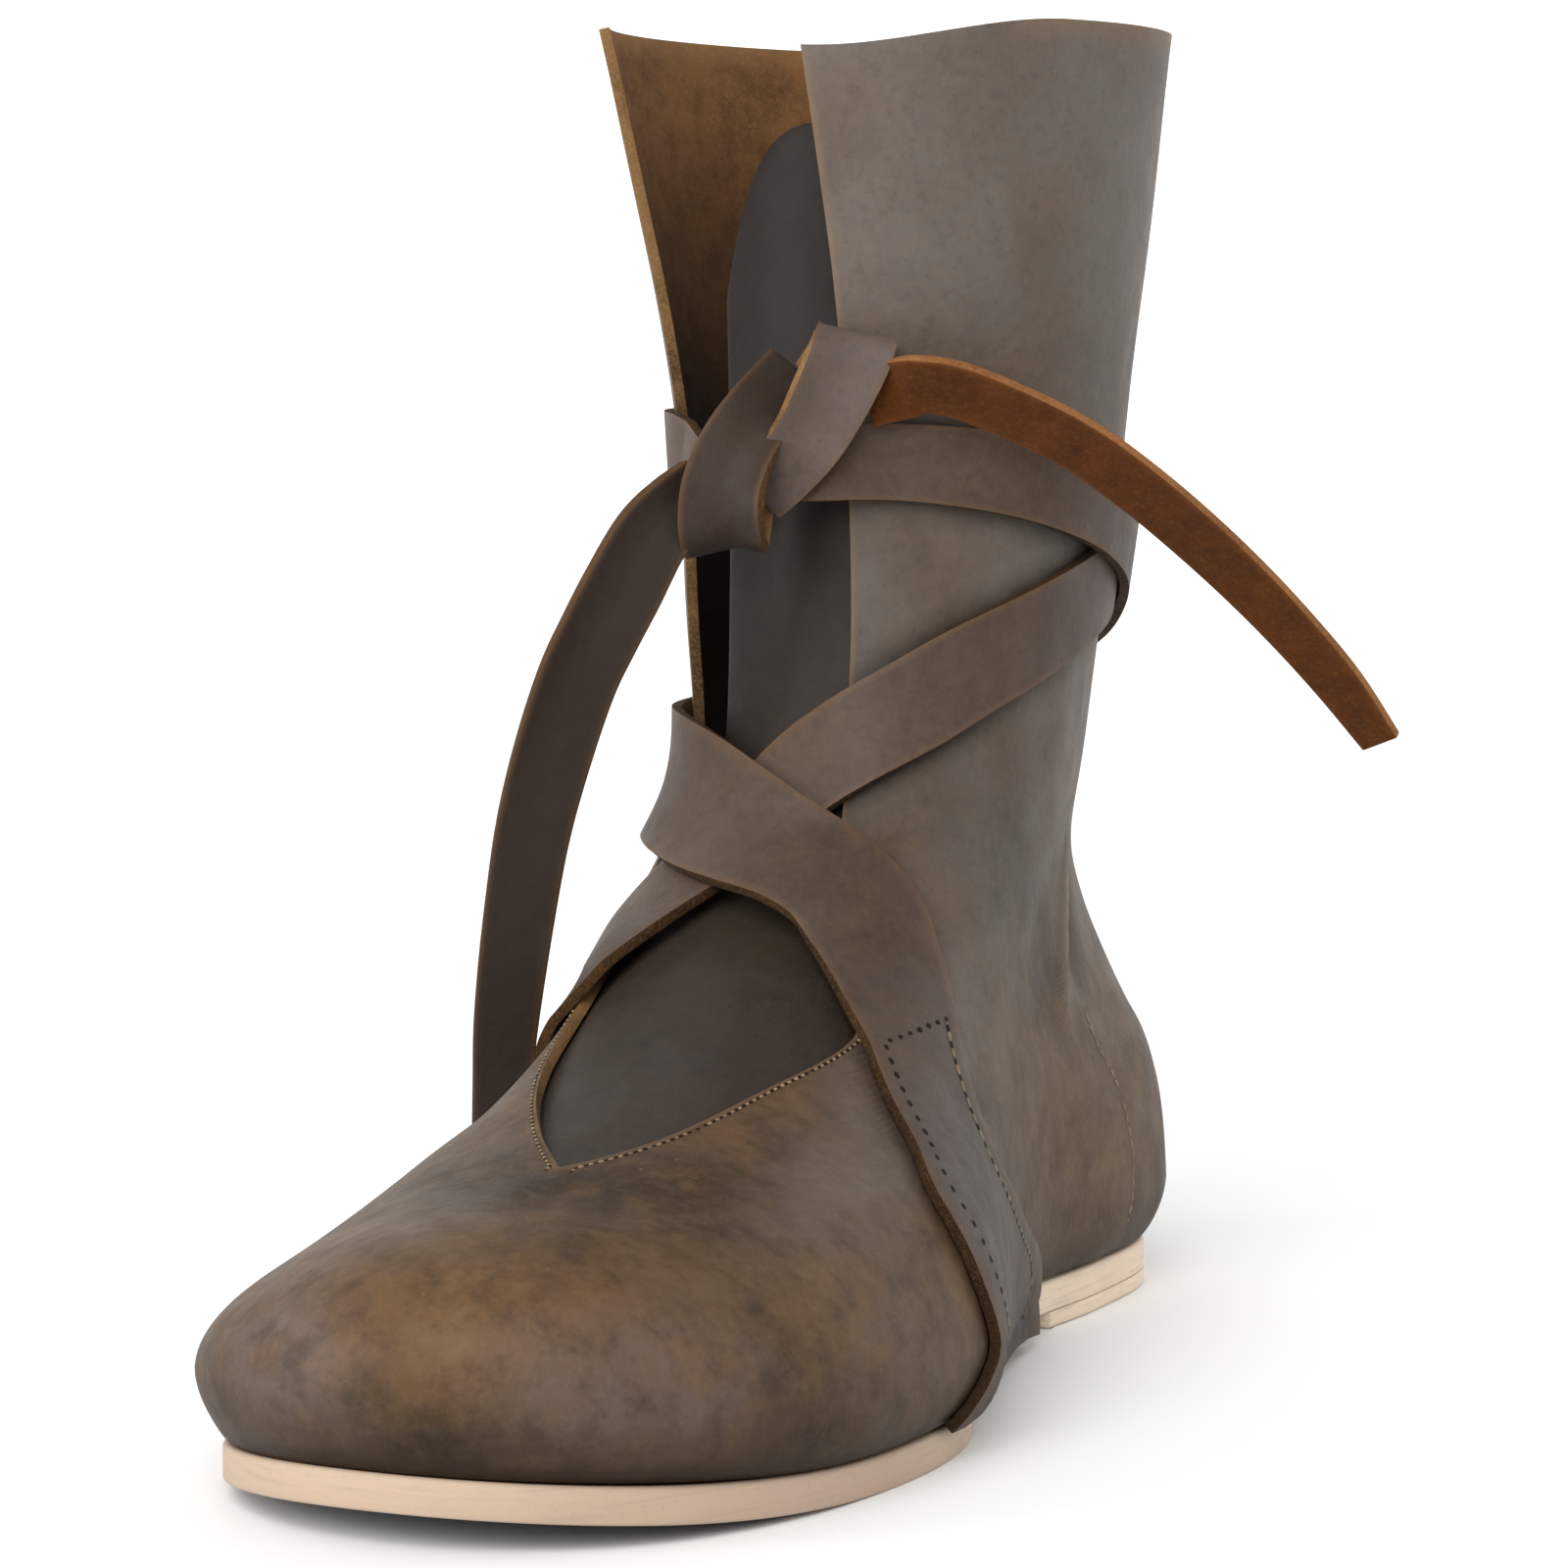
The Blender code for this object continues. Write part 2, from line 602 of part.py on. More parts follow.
make_outsole()
make_heel_lift()
make_insole()
make_upper()
make_tongue()
strap_look = (0.11, 0.075, 0.055), 0.5
make_strap("strap_lateral", FOOT_LATERAL, STRAP_LATERAL, strap_look)
make_strap("strap_medial", FOOT_MEDIAL, STRAP_MEDIAL, strap_look)
make_knot(strap_look)
make_ribbon("strap_loop", STRAP_LOOP, strap_look)
make_ribbon("strap_end_inner", STRAP_END_INNER, strap_look)
make_ribbon("strap_end_outer", STRAP_END_OUTER, strap_look)
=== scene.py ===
"""Medieval wrap boot for the left foot: the finished looks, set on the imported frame.

Metres, +Z up. The toe points to -Y and the outer side of the foot is +X. Tables and surfaces are in
millimetres.
"""

import bisect
import math
import random
from collections import namedtuple
from functools import lru_cache

import bpy
import numpy as np
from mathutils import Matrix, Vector, noise
from mathutils.kdtree import KDTree


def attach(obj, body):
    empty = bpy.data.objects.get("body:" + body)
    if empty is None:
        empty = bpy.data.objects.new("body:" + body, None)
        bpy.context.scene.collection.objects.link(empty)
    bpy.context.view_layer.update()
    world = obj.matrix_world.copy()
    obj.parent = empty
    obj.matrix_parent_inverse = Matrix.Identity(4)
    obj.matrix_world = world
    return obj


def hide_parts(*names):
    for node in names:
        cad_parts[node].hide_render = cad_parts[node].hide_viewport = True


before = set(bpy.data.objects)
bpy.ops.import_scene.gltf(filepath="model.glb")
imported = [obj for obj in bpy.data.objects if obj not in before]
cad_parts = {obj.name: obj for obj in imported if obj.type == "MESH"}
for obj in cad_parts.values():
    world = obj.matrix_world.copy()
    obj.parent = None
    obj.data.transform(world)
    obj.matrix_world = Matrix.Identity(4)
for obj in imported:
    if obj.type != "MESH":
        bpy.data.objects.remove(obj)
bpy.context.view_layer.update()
MM = 0.001

# Camera of the photograph: where it stood, how it looked and how long its lens was
CAMERA_AT = (0.3325, -0.8975, 0.176)
CAMERA_LOOK = (-0.3836, 0.9235, -0.0807)
CAMERA_LENS = 111.5

# Sizes of the pieces
TOE_Y, HEEL_Y = -249.0, 36.0
SOLE_THICK, LIFT_THICK, INSOLE_THICK = 6.0, 3.0, 2.5
LIFT_CLOSE = 0.22                         # added to the lift, so that no light shows between it and the sole
INSOLE_INSET = 4.5
SLAB_FACE = 2.5                           # the flat faces of a slab start this far in from its edge
LIFT_FRONT_Y = -44.0
TREAD_BACK_Y = -118.0
TOE_SPRING, SPRING_Y = 6.0, -175.0
WAIST_RISE = 1.2
SEAM_GAP = 0.3
WALL = 2.0
TONGUE_THICK, TONGUE_GAP = 1.8, 0.75
STRAP_THICK, END_THICK = 1.9, 2.0
EDGE_ROUND = 0.35                         # rounding of the cut edges of upper, tongue and straps
STRAP_LIFT, STRAP_OVER = 0.8, 3.7         # lift of a strap in the tables, and of one over another
STRAP_SETTLED = 1.4                       # up to this lift in the tables a strap rests on the leather
STRAP_REST, STRAP_CROSSING = 0.3, 2.75    # visible lift of a resting strap, and of one over another
RUN_START = 0.55                          # the first row of a run only gives its direction
SIDE_SWELL, FEATHER_TUCK = 4.5, -1.0      # how far the upper stands out past the sole, and at its lower edge
SWELL_ENDS, SWELL_RISE = 0.7, 0.6         # powers that shape the swell along the outline and up from the sole
FOOT_CLEAR, LEVEL_DROP = 3.2, 12.0        # a strap foot clears the sole by this, and drops this far per level
ARCH = {"lateral": (2.5, 2.2), "medial": (1.9, 1.55)}        # fullness and roundness of the foot
COLLAR_Z = 243.8
COLLAR_DIP, DIP_TURN = 5.0, 0.3           # the outer front corner of the collar is lower, over this turn
FLAP_FLARE, FLAP_Z, FLAP_WAY = 13.0, 168.0, (-0.5, -0.87)    # the inner front flap stands open above FLAP_Z
FLAP_CURVE, FLAP_BACK, FLAP_SPAN = 1.3, 0.62, 0.32           # power of its opening, and the turns it takes
UNEVEN_SIZE, UNEVEN_HEIGHT = 38, 0.55     # soft unevenness of the leather
UNEVEN_SHIFT = Vector((3.1, 0.4, 7.7))

# Half widths of the sole, from the toe (turn 0) to the heel (turn 1)
Outline = namedtuple("Outline", "turn lateral medial")
SOLE_OUTLINE = (
    Outline(0.0, 0.0, 0.0), Outline(0.1, 22.3, 27.0), Outline(0.2, 40.7, 45.8), Outline(0.3, 51.6, 53.7),
    Outline(0.4, 54.0, 52.5), Outline(0.5, 41.0, 39.0), Outline(0.6, 31.5, 31.0), Outline(0.7, 34.3, 32.5),
    Outline(0.8, 33.2, 32.2), Outline(0.9, 19.6, 20.0), Outline(1.0, 0.0, 0.0),
)

# Sections of the upper from the sole to the collar
Ring = namedtuple("Ring", "front_y front_z back_y back_z lateral medial egg leg")
RINGS = (
    Ring(-248.0, 6.3, 35.0, 9.6, 40.0, 40.0, 0.0, 0.0),
    Ring(-253.5, 18.0, 42.0, 21.0, 40.0, 40.0, 0.0, 0.0),
    Ring(-248.5, 32.0, 41.2, 36.0, 40.0, 40.0, 0.1, 0.08),
    Ring(-229.0, 43.0, 36.9, 48.0, 39.0, 40.0, 0.15, 0.25),
    Ring(-192.0, 50.5, 32.0, 57.0, 35.5, 37.0, 0.2, 0.45),
    Ring(-158.0, 62.0, 29.3, 66.0, 31.6, 40.0, 0.25, 0.6),
    Ring(-128.0, 75.0, 27.6, 78.0, 30.0, 40.0, 0.3, 0.78),
    Ring(-101.0, 90.0, 26.5, 91.0, 29.5, 36.0, 0.34, 0.92),
    Ring(-86.0, 108.0, 26.5, 108.0, 31.5, 34.5, 0.3, 1.0),
    Ring(-77.0, 140.0, 27.0, 140.0, 34.5, 41.5, 0.2, 1.0),
    Ring(-74.5, 185.0, 28.5, 185.0, 39.3, 47.0, 0.12, 1.0),
    Ring(-75.0, COLLAR_Z, 31.0, COLLAR_Z, 45.0, 53.2, 0.05, 1.0),
)
THROAT_RING = 4
TOP_RING = len(RINGS) - 1

# Front edges of the upper above the V, as turns from the front
Edge = namedtuple("Edge", "ring outer inner")
FRONT_EDGES = (
    Edge(4.0, 0.0, 0.0), Edge(4.33, 0.065, -0.085), Edge(4.75, 0.13, -0.165), Edge(5.25, 0.215, -0.225),
    Edge(6.0, 0.2, -0.255), Edge(7.1, 0.09, -0.262), Edge(8.0, 0.055, -0.27), Edge(9.0, 0.037, -0.28),
    Edge(10.0, 0.012, -0.3), Edge(11.0, -0.035, -0.32),
)
TongueWidth = namedtuple("TongueWidth", "ring outer inner")
TONGUE_WIDTHS = (
    TongueWidth(3.4, 0.16, 0.16), TongueWidth(5.0, 0.24, 0.25), TongueWidth(6.0, 0.31, 0.3),
    TongueWidth(7.0, 0.31, 0.26), TongueWidth(8.0, 0.3, 0.185), TongueWidth(11.0, 0.27, 0.165),
)
TONGUE_TOP, TONGUE_CORNER = 10.75, 0.6

# Straps: the sewn foot, then the run round the leg. The last row of each run rises into the knot.
Foot = namedtuple("Foot", "front front_level rear rear_level lift")
FOOT_LATERAL = (
    Foot(0.372, 0.08, 0.602, -0.58, 0.9), Foot(0.385, 0.35, 0.601, -0.3, 1.0),
    Foot(0.398, 0.65, 0.596, 0.18, 1.1), Foot(0.408, 1.0, 0.575, 1.0, 1.1),
    Foot(0.392, 1.7, 0.530, 1.7, 1.1), Foot(0.372, 2.6, 0.480, 2.6, 1.1), Foot(0.340, 3.5, 0.440, 3.5, 1.3),
    Foot(0.275, 4.5, 0.390, 4.5, 1.3), Foot(0.228, 5.2, 0.352, 5.2, 1.2),
)
FOOT_MEDIAL = (
    Foot(-0.455, 0.08, -0.645, -0.45, 0.9), Foot(-0.465, 0.35, -0.642, -0.2, 1.0),
    Foot(-0.472, 0.65, -0.635, 0.2, 1.1), Foot(-0.476, 1.0, -0.615, 1.0, 1.1),
    Foot(-0.460, 1.7, -0.570, 1.7, 1.1),
    Foot(-0.435, 2.6, -0.530, 2.6, 1.1), Foot(-0.400, 3.5, -0.490, 3.5, 1.2),
    Foot(-0.330, 4.5, -0.435, 4.5, 1.5), Foot(-0.258, 5.2, -0.380, 5.2, 1.9),
)
Strap = namedtuple("Strap", "turn level half lift")
STRAP_LATERAL = (
    Strap(0.290, 5.2, 13.5, 1.0), Strap(0.190, 6.2, 12.5, 1.5), Strap(0.090, 6.8, 12.0, STRAP_OVER),
    Strap(-0.090, 7.4, 12.0, STRAP_OVER), Strap(-0.270, 7.75, 11.5, STRAP_OVER),
    Strap(-0.500, 8.05, 9.5, STRAP_LIFT), Strap(-0.750, 8.35, 8.8, STRAP_LIFT), Strap(-1.000, 8.62, 8.5, 1.1),
    Strap(-1.180, 8.85, 8.3, STRAP_OVER), Strap(-1.350, 9.08, 8.1, STRAP_OVER),
    Strap(-1.500, 9.27, 8.0, STRAP_OVER), Strap(-1.620, 9.40, 8.0, STRAP_OVER), Strap(-1.750, 9.50, 7.5, 1.5),
    Strap(-1.900, 9.55, 7.0, 1.5), Strap(-2.030, 9.54, 7.0, 6.2),
)
STRAP_MEDIAL = (
    Strap(-0.319, 5.2, 13.5, 1.9), Strap(-0.215, 6.2, 12.0, 1.4), Strap(-0.103, 7.1, 10.5, STRAP_LIFT),
    Strap(0.010, 7.95, 9.0, STRAP_LIFT), Strap(0.150, 8.42, 8.5, STRAP_LIFT),
    Strap(0.275, 8.70, 8.3, STRAP_LIFT), Strap(0.475, 8.97, 8.3, STRAP_LIFT),
    Strap(0.750, 9.20, 8.2, STRAP_LIFT), Strap(1.000, 9.38, 8.0, STRAP_LIFT),
    Strap(1.300, 9.53, 8.0, STRAP_LIFT), Strap(1.500, 9.60, 7.5, STRAP_LIFT),
    Strap(1.680, 9.60, 7.0, STRAP_LIFT), Strap(1.770, 9.56, 7.0, 1.5), Strap(1.890, 9.40, 7.0, 8.6),
)

# Free strap: the band of the knot, the loop above it and the two ends. face is the way the outer side looks.
FORWARD, BACKWARD = (0.39, -0.92, 0.0), (-0.39, 0.92, 0.0)
UPWARD, FORWARD_UP = (0.19, 0.08, 0.98), (0.35, -0.55, 0.76)
UNDER, FORWARD_UNDER = (0.21, 0.09, -0.97), (0.4, -0.56, -0.72)
DOWNWARD = (0.0, -0.78, -0.6)
Free = namedtuple("Free", "x y z half face curl", defaults=(0.0,))   # curl lifts one edge towards the face
KNOT_BAND = (
    Free(-5.5, -78.5, 180.6, 5.6, FORWARD), Free(-7.2, -83.0, 176.5, 6.0, FORWARD),
    Free(-9.2, -88.2, 171.7, 6.4, FORWARD, 1.0), Free(-11.6, -92.4, 165.8, 6.7, FORWARD, 2.6),
    Free(-13.3, -94.8, 159.1, 7.0, FORWARD, 3.6), Free(-13.9, -94.7, 153.1, 7.2, FORWARD, 3.4),
    Free(-14.3, -92.5, 149.1, 7.2, FORWARD_UNDER, 2.4), Free(-15.1, -88.5, 147.4, 7.0, UNDER, 1.0),
    Free(-15.6, -84.5, 149.1, 6.8, BACKWARD), Free(-14.8, -83.1, 154.2, 6.4, BACKWARD),
    Free(-13.5, -82.6, 160.6, 6.0, BACKWARD),
)
STRAP_LOOP = (
    Free(-10.3, -84.8, 157.1, 5.6, FORWARD), Free(-4.8, -85.8, 161.8, 6.0, FORWARD, 0.8),
    Free(0.9, -86.6, 167.9, 6.4, FORWARD, 1.8), Free(5.6, -87.0, 175.6, 6.9, FORWARD, 2.0),
    Free(8.1, -85.7, 182.0, 7.3, FORWARD, 1.4), Free(8.3, -83.2, 185.7, 7.4, FORWARD_UP, 0.6),
    Free(7.2, -79.6, 187.0, 7.3, UPWARD), Free(5.3, -76.6, 185.6, 7.2, BACKWARD),
    Free(2.5, -75.6, 181.7, 6.8, BACKWARD), Free(-1.1, -76.1, 177.4, 6.2, BACKWARD),
)
STRAP_END_OUTER = (
    Free(9.0, -80.2, 174.6, 5.0, FORWARD), Free(14.6, -80.6, 176.0, 5.7, (0.2, -0.9, -0.35)),
    Free(20.0, -80.6, 176.7, 6.1, DOWNWARD), Free(27.2, -79.0, 175.4, 6.2, DOWNWARD),
    Free(38.7, -72.9, 170.0, 6.2, DOWNWARD), Free(46.6, -66.3, 164.7, 6.1, DOWNWARD),
    Free(54.7, -59.7, 157.5, 6.0, DOWNWARD), Free(61.6, -52.4, 150.0, 5.9, DOWNWARD),
    Free(68.7, -45.1, 141.6, 5.7, DOWNWARD), Free(75.8, -37.8, 132.3, 5.4, DOWNWARD),
    Free(83.0, -30.4, 121.8, 5.0, DOWNWARD), Free(89.4, -23.4, 110.6, 4.0, DOWNWARD),
)
STRAP_END_INNER = (
    Free(-17.5, -90.5, 159.5, 5.6, FORWARD, -1.2), Free(-21.5, -94.3, 155.0, 6.2, FORWARD, -2.0),
    Free(-25.5, -97.5, 149.5, 6.6, FORWARD, -2.4), Free(-30.0, -99.6, 140.5, 7.0, FORWARD, -2.4),
    Free(-34.0, -101.0, 132.5, 7.0, FORWARD, -2.2), Free(-38.2, -101.9, 123.8, 7.0, FORWARD, -1.8),
    Free(-42.7, -102.8, 110.8, 7.0, FORWARD, -1.2), Free(-46.7, -103.4, 96.2, 6.8, FORWARD, -0.6),
    Free(-49.8, -103.6, 79.2, 6.5, FORWARD), Free(-52.2, -103.5, 62.2, 6.0, FORWARD),
    Free(-53.4, -102.9, 50.5, 5.5, FORWARD), Free(-54.4, -102.2, 37.0, 5.0, FORWARD),
    Free(-54.8, -101.3, 26.1, 4.0, FORWARD),
)

# Creases of the upper, each a path of (turn, level), with its half width and height in millimetres: a trough
# is below 0 and a ridge above it
Crease = namedtuple("Crease", "path half height")
CREASES = (
    Crease(((0.57, 7.3), (0.59, 6.6), (0.598, 6.0), (0.602, 5.3), (0.61, 4.5), (0.625, 3.8)), 2.3, 1.35),
    Crease(((0.62, 6.7), (0.64, 6.0), (0.645, 5.3), (0.655, 4.5)), 4.5, -1.7),
    Crease(((0.5, 7.2), (0.53, 6.2), (0.545, 5.4), (0.555, 4.5)), 7.0, -1.0),
    Crease(((-0.5, 7.2), (-0.55, 6.4), (-0.59, 5.5)), 4.5, -1.2),
    Crease(((0.0, 3.75), (0.1, 3.5), (0.2, 3.35)), 9.0, -0.8),
    Crease(((0.4, 9.0), (0.42, 8.2), (0.46, 7.4)), 6.0, 0.5),
)

# Patches of colour on the upper, placed one by one; each fades out over wide millimetres from its middle.
# The rubbed ones are worn colour, the sheen ones a painted sheen, and the dark ones dark patches and painted
# shade.
Spot = namedtuple("Spot", "turn level wide strength")
RUBBED_SPOTS = (
    Spot(0.02, 2.2, 17, 0.9), Spot(0.09, 2.2, 14, 0.8), Spot(-0.1, 2.1, 15, 0.6), Spot(0.17, 2.6, 12, 0.6),
    Spot(0.27, 2.0, 13, 0.6), Spot(0.38, 1.6, 10, 0.7), Spot(0.01, 3.1, 9, 0.3), Spot(0.62, 3.0, 15, 0.5),
    Spot(0.7, 1.4, 14, 0.6), Spot(-0.2, 2.4, 16, 0.6), Spot(-0.36, 1.7, 14, 0.6), Spot(-0.68, 2.2, 18, 0.5),
)
# painted sheen: greyish highlights on the waxed gloss
SHEEN_SPOTS = (
    Spot(-0.06, 1.1, 13, 0.9), Spot(-0.1, 1.35, 11, 0.6), Spot(0.11, 1.25, 12, 0.8), Spot(0.19, 1.3, 12, 0.8),
    Spot(0.34, 1.1, 12, 0.5), Spot(0.28, 3.1, 15, 0.6), Spot(-0.3, 1.0, 15, 0.6), Spot(-0.5, 3.4, 20, 0.4),
)
# dark patches of the leather, and painted shade; the three over the top of the V are painted shade
DARK_AND_SHADE_SPOTS = (
    Spot(0.02, 0.25, 10, 0.9), Spot(0.09, 2.8, 9, 0.45), Spot(-0.13, 0.8, 9, 0.6), Spot(-0.05, 8.8, 13, 0.45),
    Spot(0.06, 8.4, 12, 0.35), Spot(0.25, 0.4, 14, 0.55), Spot(0.52, 1.6, 14, 0.5), Spot(-0.4, 0.4, 14, 0.5),
    Spot(0.78, 0.5, 12, 0.45), Spot(-0.75, 0.6, 14, 0.45), Spot(0.36, 7.1, 18, 0.45), Spot(0.0, 3.7, 17, 0.7),
    Spot(0.16, 3.6, 15, 0.55), Spot(-0.16, 3.6, 17, 0.65), Spot(0.46, 3.2, 18, 0.45),
    Spot(0.54, 5.4, 15, 0.45), Spot(0.5, 9.6, 24, 0.3), Spot(0.22, 2.4, 7, 0.3), Spot(-0.05, 2.75, 8, 0.3),
    Spot(-0.6, 6.5, 20, 0.35),
)

# Seam that holds the heel stiffener, as (turn, level)
COUNTER_SEAM = ((0.65, 4.7), (0.675, 3.55), (0.7, 2.65), (0.712, 1.65), (0.712, 1.2), (0.712, 0.6))

# Wear and painted shade on the leather, from 0 to 1. A reach is in millimetres, or in levels where it goes up
# the boot.
PAINTED_MOST = 0.9
RUB, RUB_REACH = 0.35, 0.7                              # cut edges, rubbed to the fibre
STRAP_RUB, STRAP_RUB_REACH, TONGUE_RUB = 0.3, 0.6, 0.08
PULL, PULL_FROM = 0.95, 0.3                             # ridges higher than this, where the wax pulls pale
INSIDE_SHADE, INSIDE_CURVE = 0.93, 0.8                   # painted shade inside the shaft
INSIDE_TOP, INSIDE_SPAN = 10.75, 1.1                    # darker from this level down, over this many levels
SOLE_LINE_AND_SHADE = ((0.85, 0.16), (0.55, 0.8))                 # a dark line at the joint with the sole, and a softer painted shade over it
LEG_SHADE, LEG_LEVEL, LEG_REACH = 0.3, 8.2, 1.1          # painted shade on the front of the leg under the knot
LEG_TURN, LEG_FADE = 0.3, 0.2                           # it ends at this turn, over this much turn
TROUGH_SHADE, TROUGH_FROM = 0.4, 0.5                     # painted shade in creases deeper than this
STRAP_SHADE, STRAP_SHADE_REACH = 0.6, 2.6                 # painted shade beside the straps
BROWN_TOP, BROWN_SPAN, BROWN_LEAST = 125, 75, 0.12      # the leather is browner from this height down
BACK_GREY, BACK_TURN, BACK_FADE = 0.2, 0.3, 0.12        # and a little less so behind the vamp
SIDE_GREY, SIDE_LEVEL, SIDE_RISE = 0.75, 2.4, 0.8       # and greyer on the outer side, beside the V
SIDE_FRONT, SIDE_IN, SIDE_BACK, SIDE_OUT = 0.15, 0.1, 0.44, 0.05   # turns where that starts and ends, softly
TONGUE_SHADE, TONGUE_WARM = (0.05, 0.9), 0.5             # painted shade from the low end of the tongue to its top
STRAP_WARM = 0.3
FOOT_SHADE, FOOT_SHADE_REACH = 0.35, 0.8                  # painted shade on the sewn foot of a strap, at the sole and below the instep
INSTEP_SHADE, INSTEP_LEVEL, INSTEP_FADE = 0.25, 5.5, 1.5
TOE_DARK_Y, TOE_DARK_SPAN = -60, 120                            # the edge of the sole is darker towards the toe
NO_EDGE = 99.0                                          # distance that stands for no edge nearby
COLLAR_NEAR = 10.5                                      # level above which the collar counts as an edge

# Sewing: spacing of the holes, half their width and half the width of the thread, in millimetres
Sewing = namedtuple("Sewing", "pitch hole thread")
THROAT_SEWING, COUNTER_SEWING = Sewing(1.85, 0.32, 0.27), Sewing(2.6, 0.12, 0.26)
THROAT_LOW, THROAT_INSET = 3.93, 2.2
FOOT_PITCH, FOOT_HOLE = 3.4, 0.5
# Rows on the foot of a strap: from and to a row of its table and a share of its width; with no thread, the
# holes are bare
FootRow = namedtuple("FootRow", "part first last share_first share_last thread")
FOOT_ROWS = (
    FootRow("front_top", 3.4, 7.8, 0.14, 0.14, 0.0), FootRow("front_low", 0.6, 3.4, 0.14, 0.14, 0.24),
    FootRow("rear", 0.9, 7.9, 0.86, 0.86, 0.26), FootRow("top", 7.8, 8.0, 0.14, 0.86, 0.0),
)
ROW_STEPS = 60
HOLE_SIDES, HOLE_LONG, HOLE_RAISE = 10, 1.5, 0.08
THREAD_STEPS, THREAD_SIDES, THREAD_FLAT, THREAD_RAISE = 6, 4, 0.8, 0.04
HOLE_SPREAD, THREAD_SPREAD = (0.85, 1.15), (0.8, 1.2)   # no two stitches are quite alike
LOST_STITCH = 0.08                                      # share of the stitches that have worn away
STITCH_BARE = 0.17                                      # share of the pitch that stays bare at each end
BOW_START, BOW_SPAN = 0.06, 0.88                        # part of a half round that the thread bows over

# Studio, in metres
FLOOR_REACH = 300.0
SWEEP_Y, SWEEP_TOP = 2.4, 5.0
SKY_POWER = 0.6
SUN_POWER, SUN_ANGLE, SUN_WAY = 2.45, 50, (-0.08, 1.0, -0.72)
BOX_AT, BOX_AIM, BOX_SIZE, BOX_POWER = (-1.1, -1.2, 0.4), (0, -0.18, 0.05), (0.45, 0.6), 8


def smooth(xs, ys, x):
    """Value at x on the smooth curve through the points (xs, ys)."""
    last = len(xs) - 1
    i = max(0, min(last - 1, bisect.bisect_right(xs, x) - 1))

    def slope(k):
        low, high = max(k - 1, 0), min(k + 1, last)
        return (ys[high] - ys[low]) / (xs[high] - xs[low])

    span = xs[i + 1] - xs[i]
    u = max(0.0, min(1.0, (x - xs[i]) / span))
    rise = ys[i + 1] - ys[i]
    start, end = slope(i) * span, slope(i + 1) * span
    return ys[i] + u * (start + u * ((3 * rise - 2 * start - end) + u * (start + end - 2 * rise)))


@lru_cache(maxsize=None)
def column(rows, name):
    return tuple(getattr(row, name) for row in rows)


def read(rows, key, name, at):
    """A column of a table, read at a value of its key column."""
    return smooth(column(rows, key), column(rows, name), at)


def table_point(rows, at):
    """Every column of a table of numbers, read smoothly at a place that counts its rows."""
    return tuple(smooth(range(len(rows)), column(rows, name), at) for name in rows[0]._fields)


def mix(a, b, share):
    return a + (b - a) * share


def ease(share):
    share = max(0.0, min(1.0, share))
    return share * share * (3 - 2 * share)


def fade(away, reach):
    """1 at no distance, fading out over reach."""
    return np.exp(-(away / reach) ** 2)


def along(turn):
    """Share of the length from front to back at a turn."""
    return (1 - math.cos(math.pi * abs(turn))) / 2


def side_name(turn):
    return "lateral" if turn >= 0 else "medial"


def toe_rise(y):
    past = max(0.0, (SPRING_Y - y) / (SPRING_Y - TOE_Y))
    return TOE_SPRING * past * past


def sole_bottom(y):
    """Underside of the sole before the toe is sprung: flat tread, hollow waist, heel seat on its lift."""
    share = (y - TREAD_BACK_Y) / (LIFT_FRONT_Y - TREAD_BACK_Y)
    hollow = WAIST_RISE * math.sin(math.pi * max(0.0, min(1.0, share))) ** 2
    return ease(share) * (LIFT_THICK + SEAM_GAP) + hollow


def sole_half_width(turn):
    return read(SOLE_OUTLINE, "turn", side_name(turn), abs(turn))


@lru_cache(maxsize=None)
def ring_at(level):
    """The section at a level, which counts rings from the sole up."""
    return Ring(*table_point(RINGS, level))


@lru_cache(maxsize=None)
def ridge_line():
    """Top line of the foot from the toe to the shin, as matching lists of y and z."""
    first, last, steps = 1, 9, 160
    rings = [ring_at(first + (last - first) * k / steps) for k in range(steps + 1)]
    behind = RINGS[last - 1].front_y / 2
    return [r.front_y for r in rings] + [behind], [r.front_z for r in rings] + [COLLAR_Z]


def ridge_z(y):
    ys, zs = ridge_line()
    i = max(0, min(len(ys) - 2, bisect.bisect_right(ys, y) - 1))
    share = max(0.0, min(1.0, (y - ys[i]) / (ys[i + 1] - ys[i])))
    return mix(zs[i], zs[i + 1], share)


def swell_share(turn):
    """Share of the swell past the sole, none at the very ends of the outline."""
    return math.sin(math.pi * abs(turn)) ** SWELL_ENDS


def foot_half_width(y, z, turn):
    """Half width of the foot at a place: the swollen outline of the sole under a rounded arch."""
    swell = RINGS[1]
    share = max(0.0, min(1.0, (y - swell.front_y) / (swell.back_y - swell.front_y)))
    angle = math.acos(1 - 2 * share) / math.pi
    full = sole_half_width(math.copysign(angle, turn)) + SIDE_SWELL * swell_share(angle)
    low = mix(swell.front_z, swell.back_z, share)
    height = max(0.0, min(1.0, (z - low) / max(0.001, ridge_z(y) - low)))
    fullness, roundness = ARCH[side_name(turn)]
    return full * (1 - height ** fullness) ** (1 / roundness)


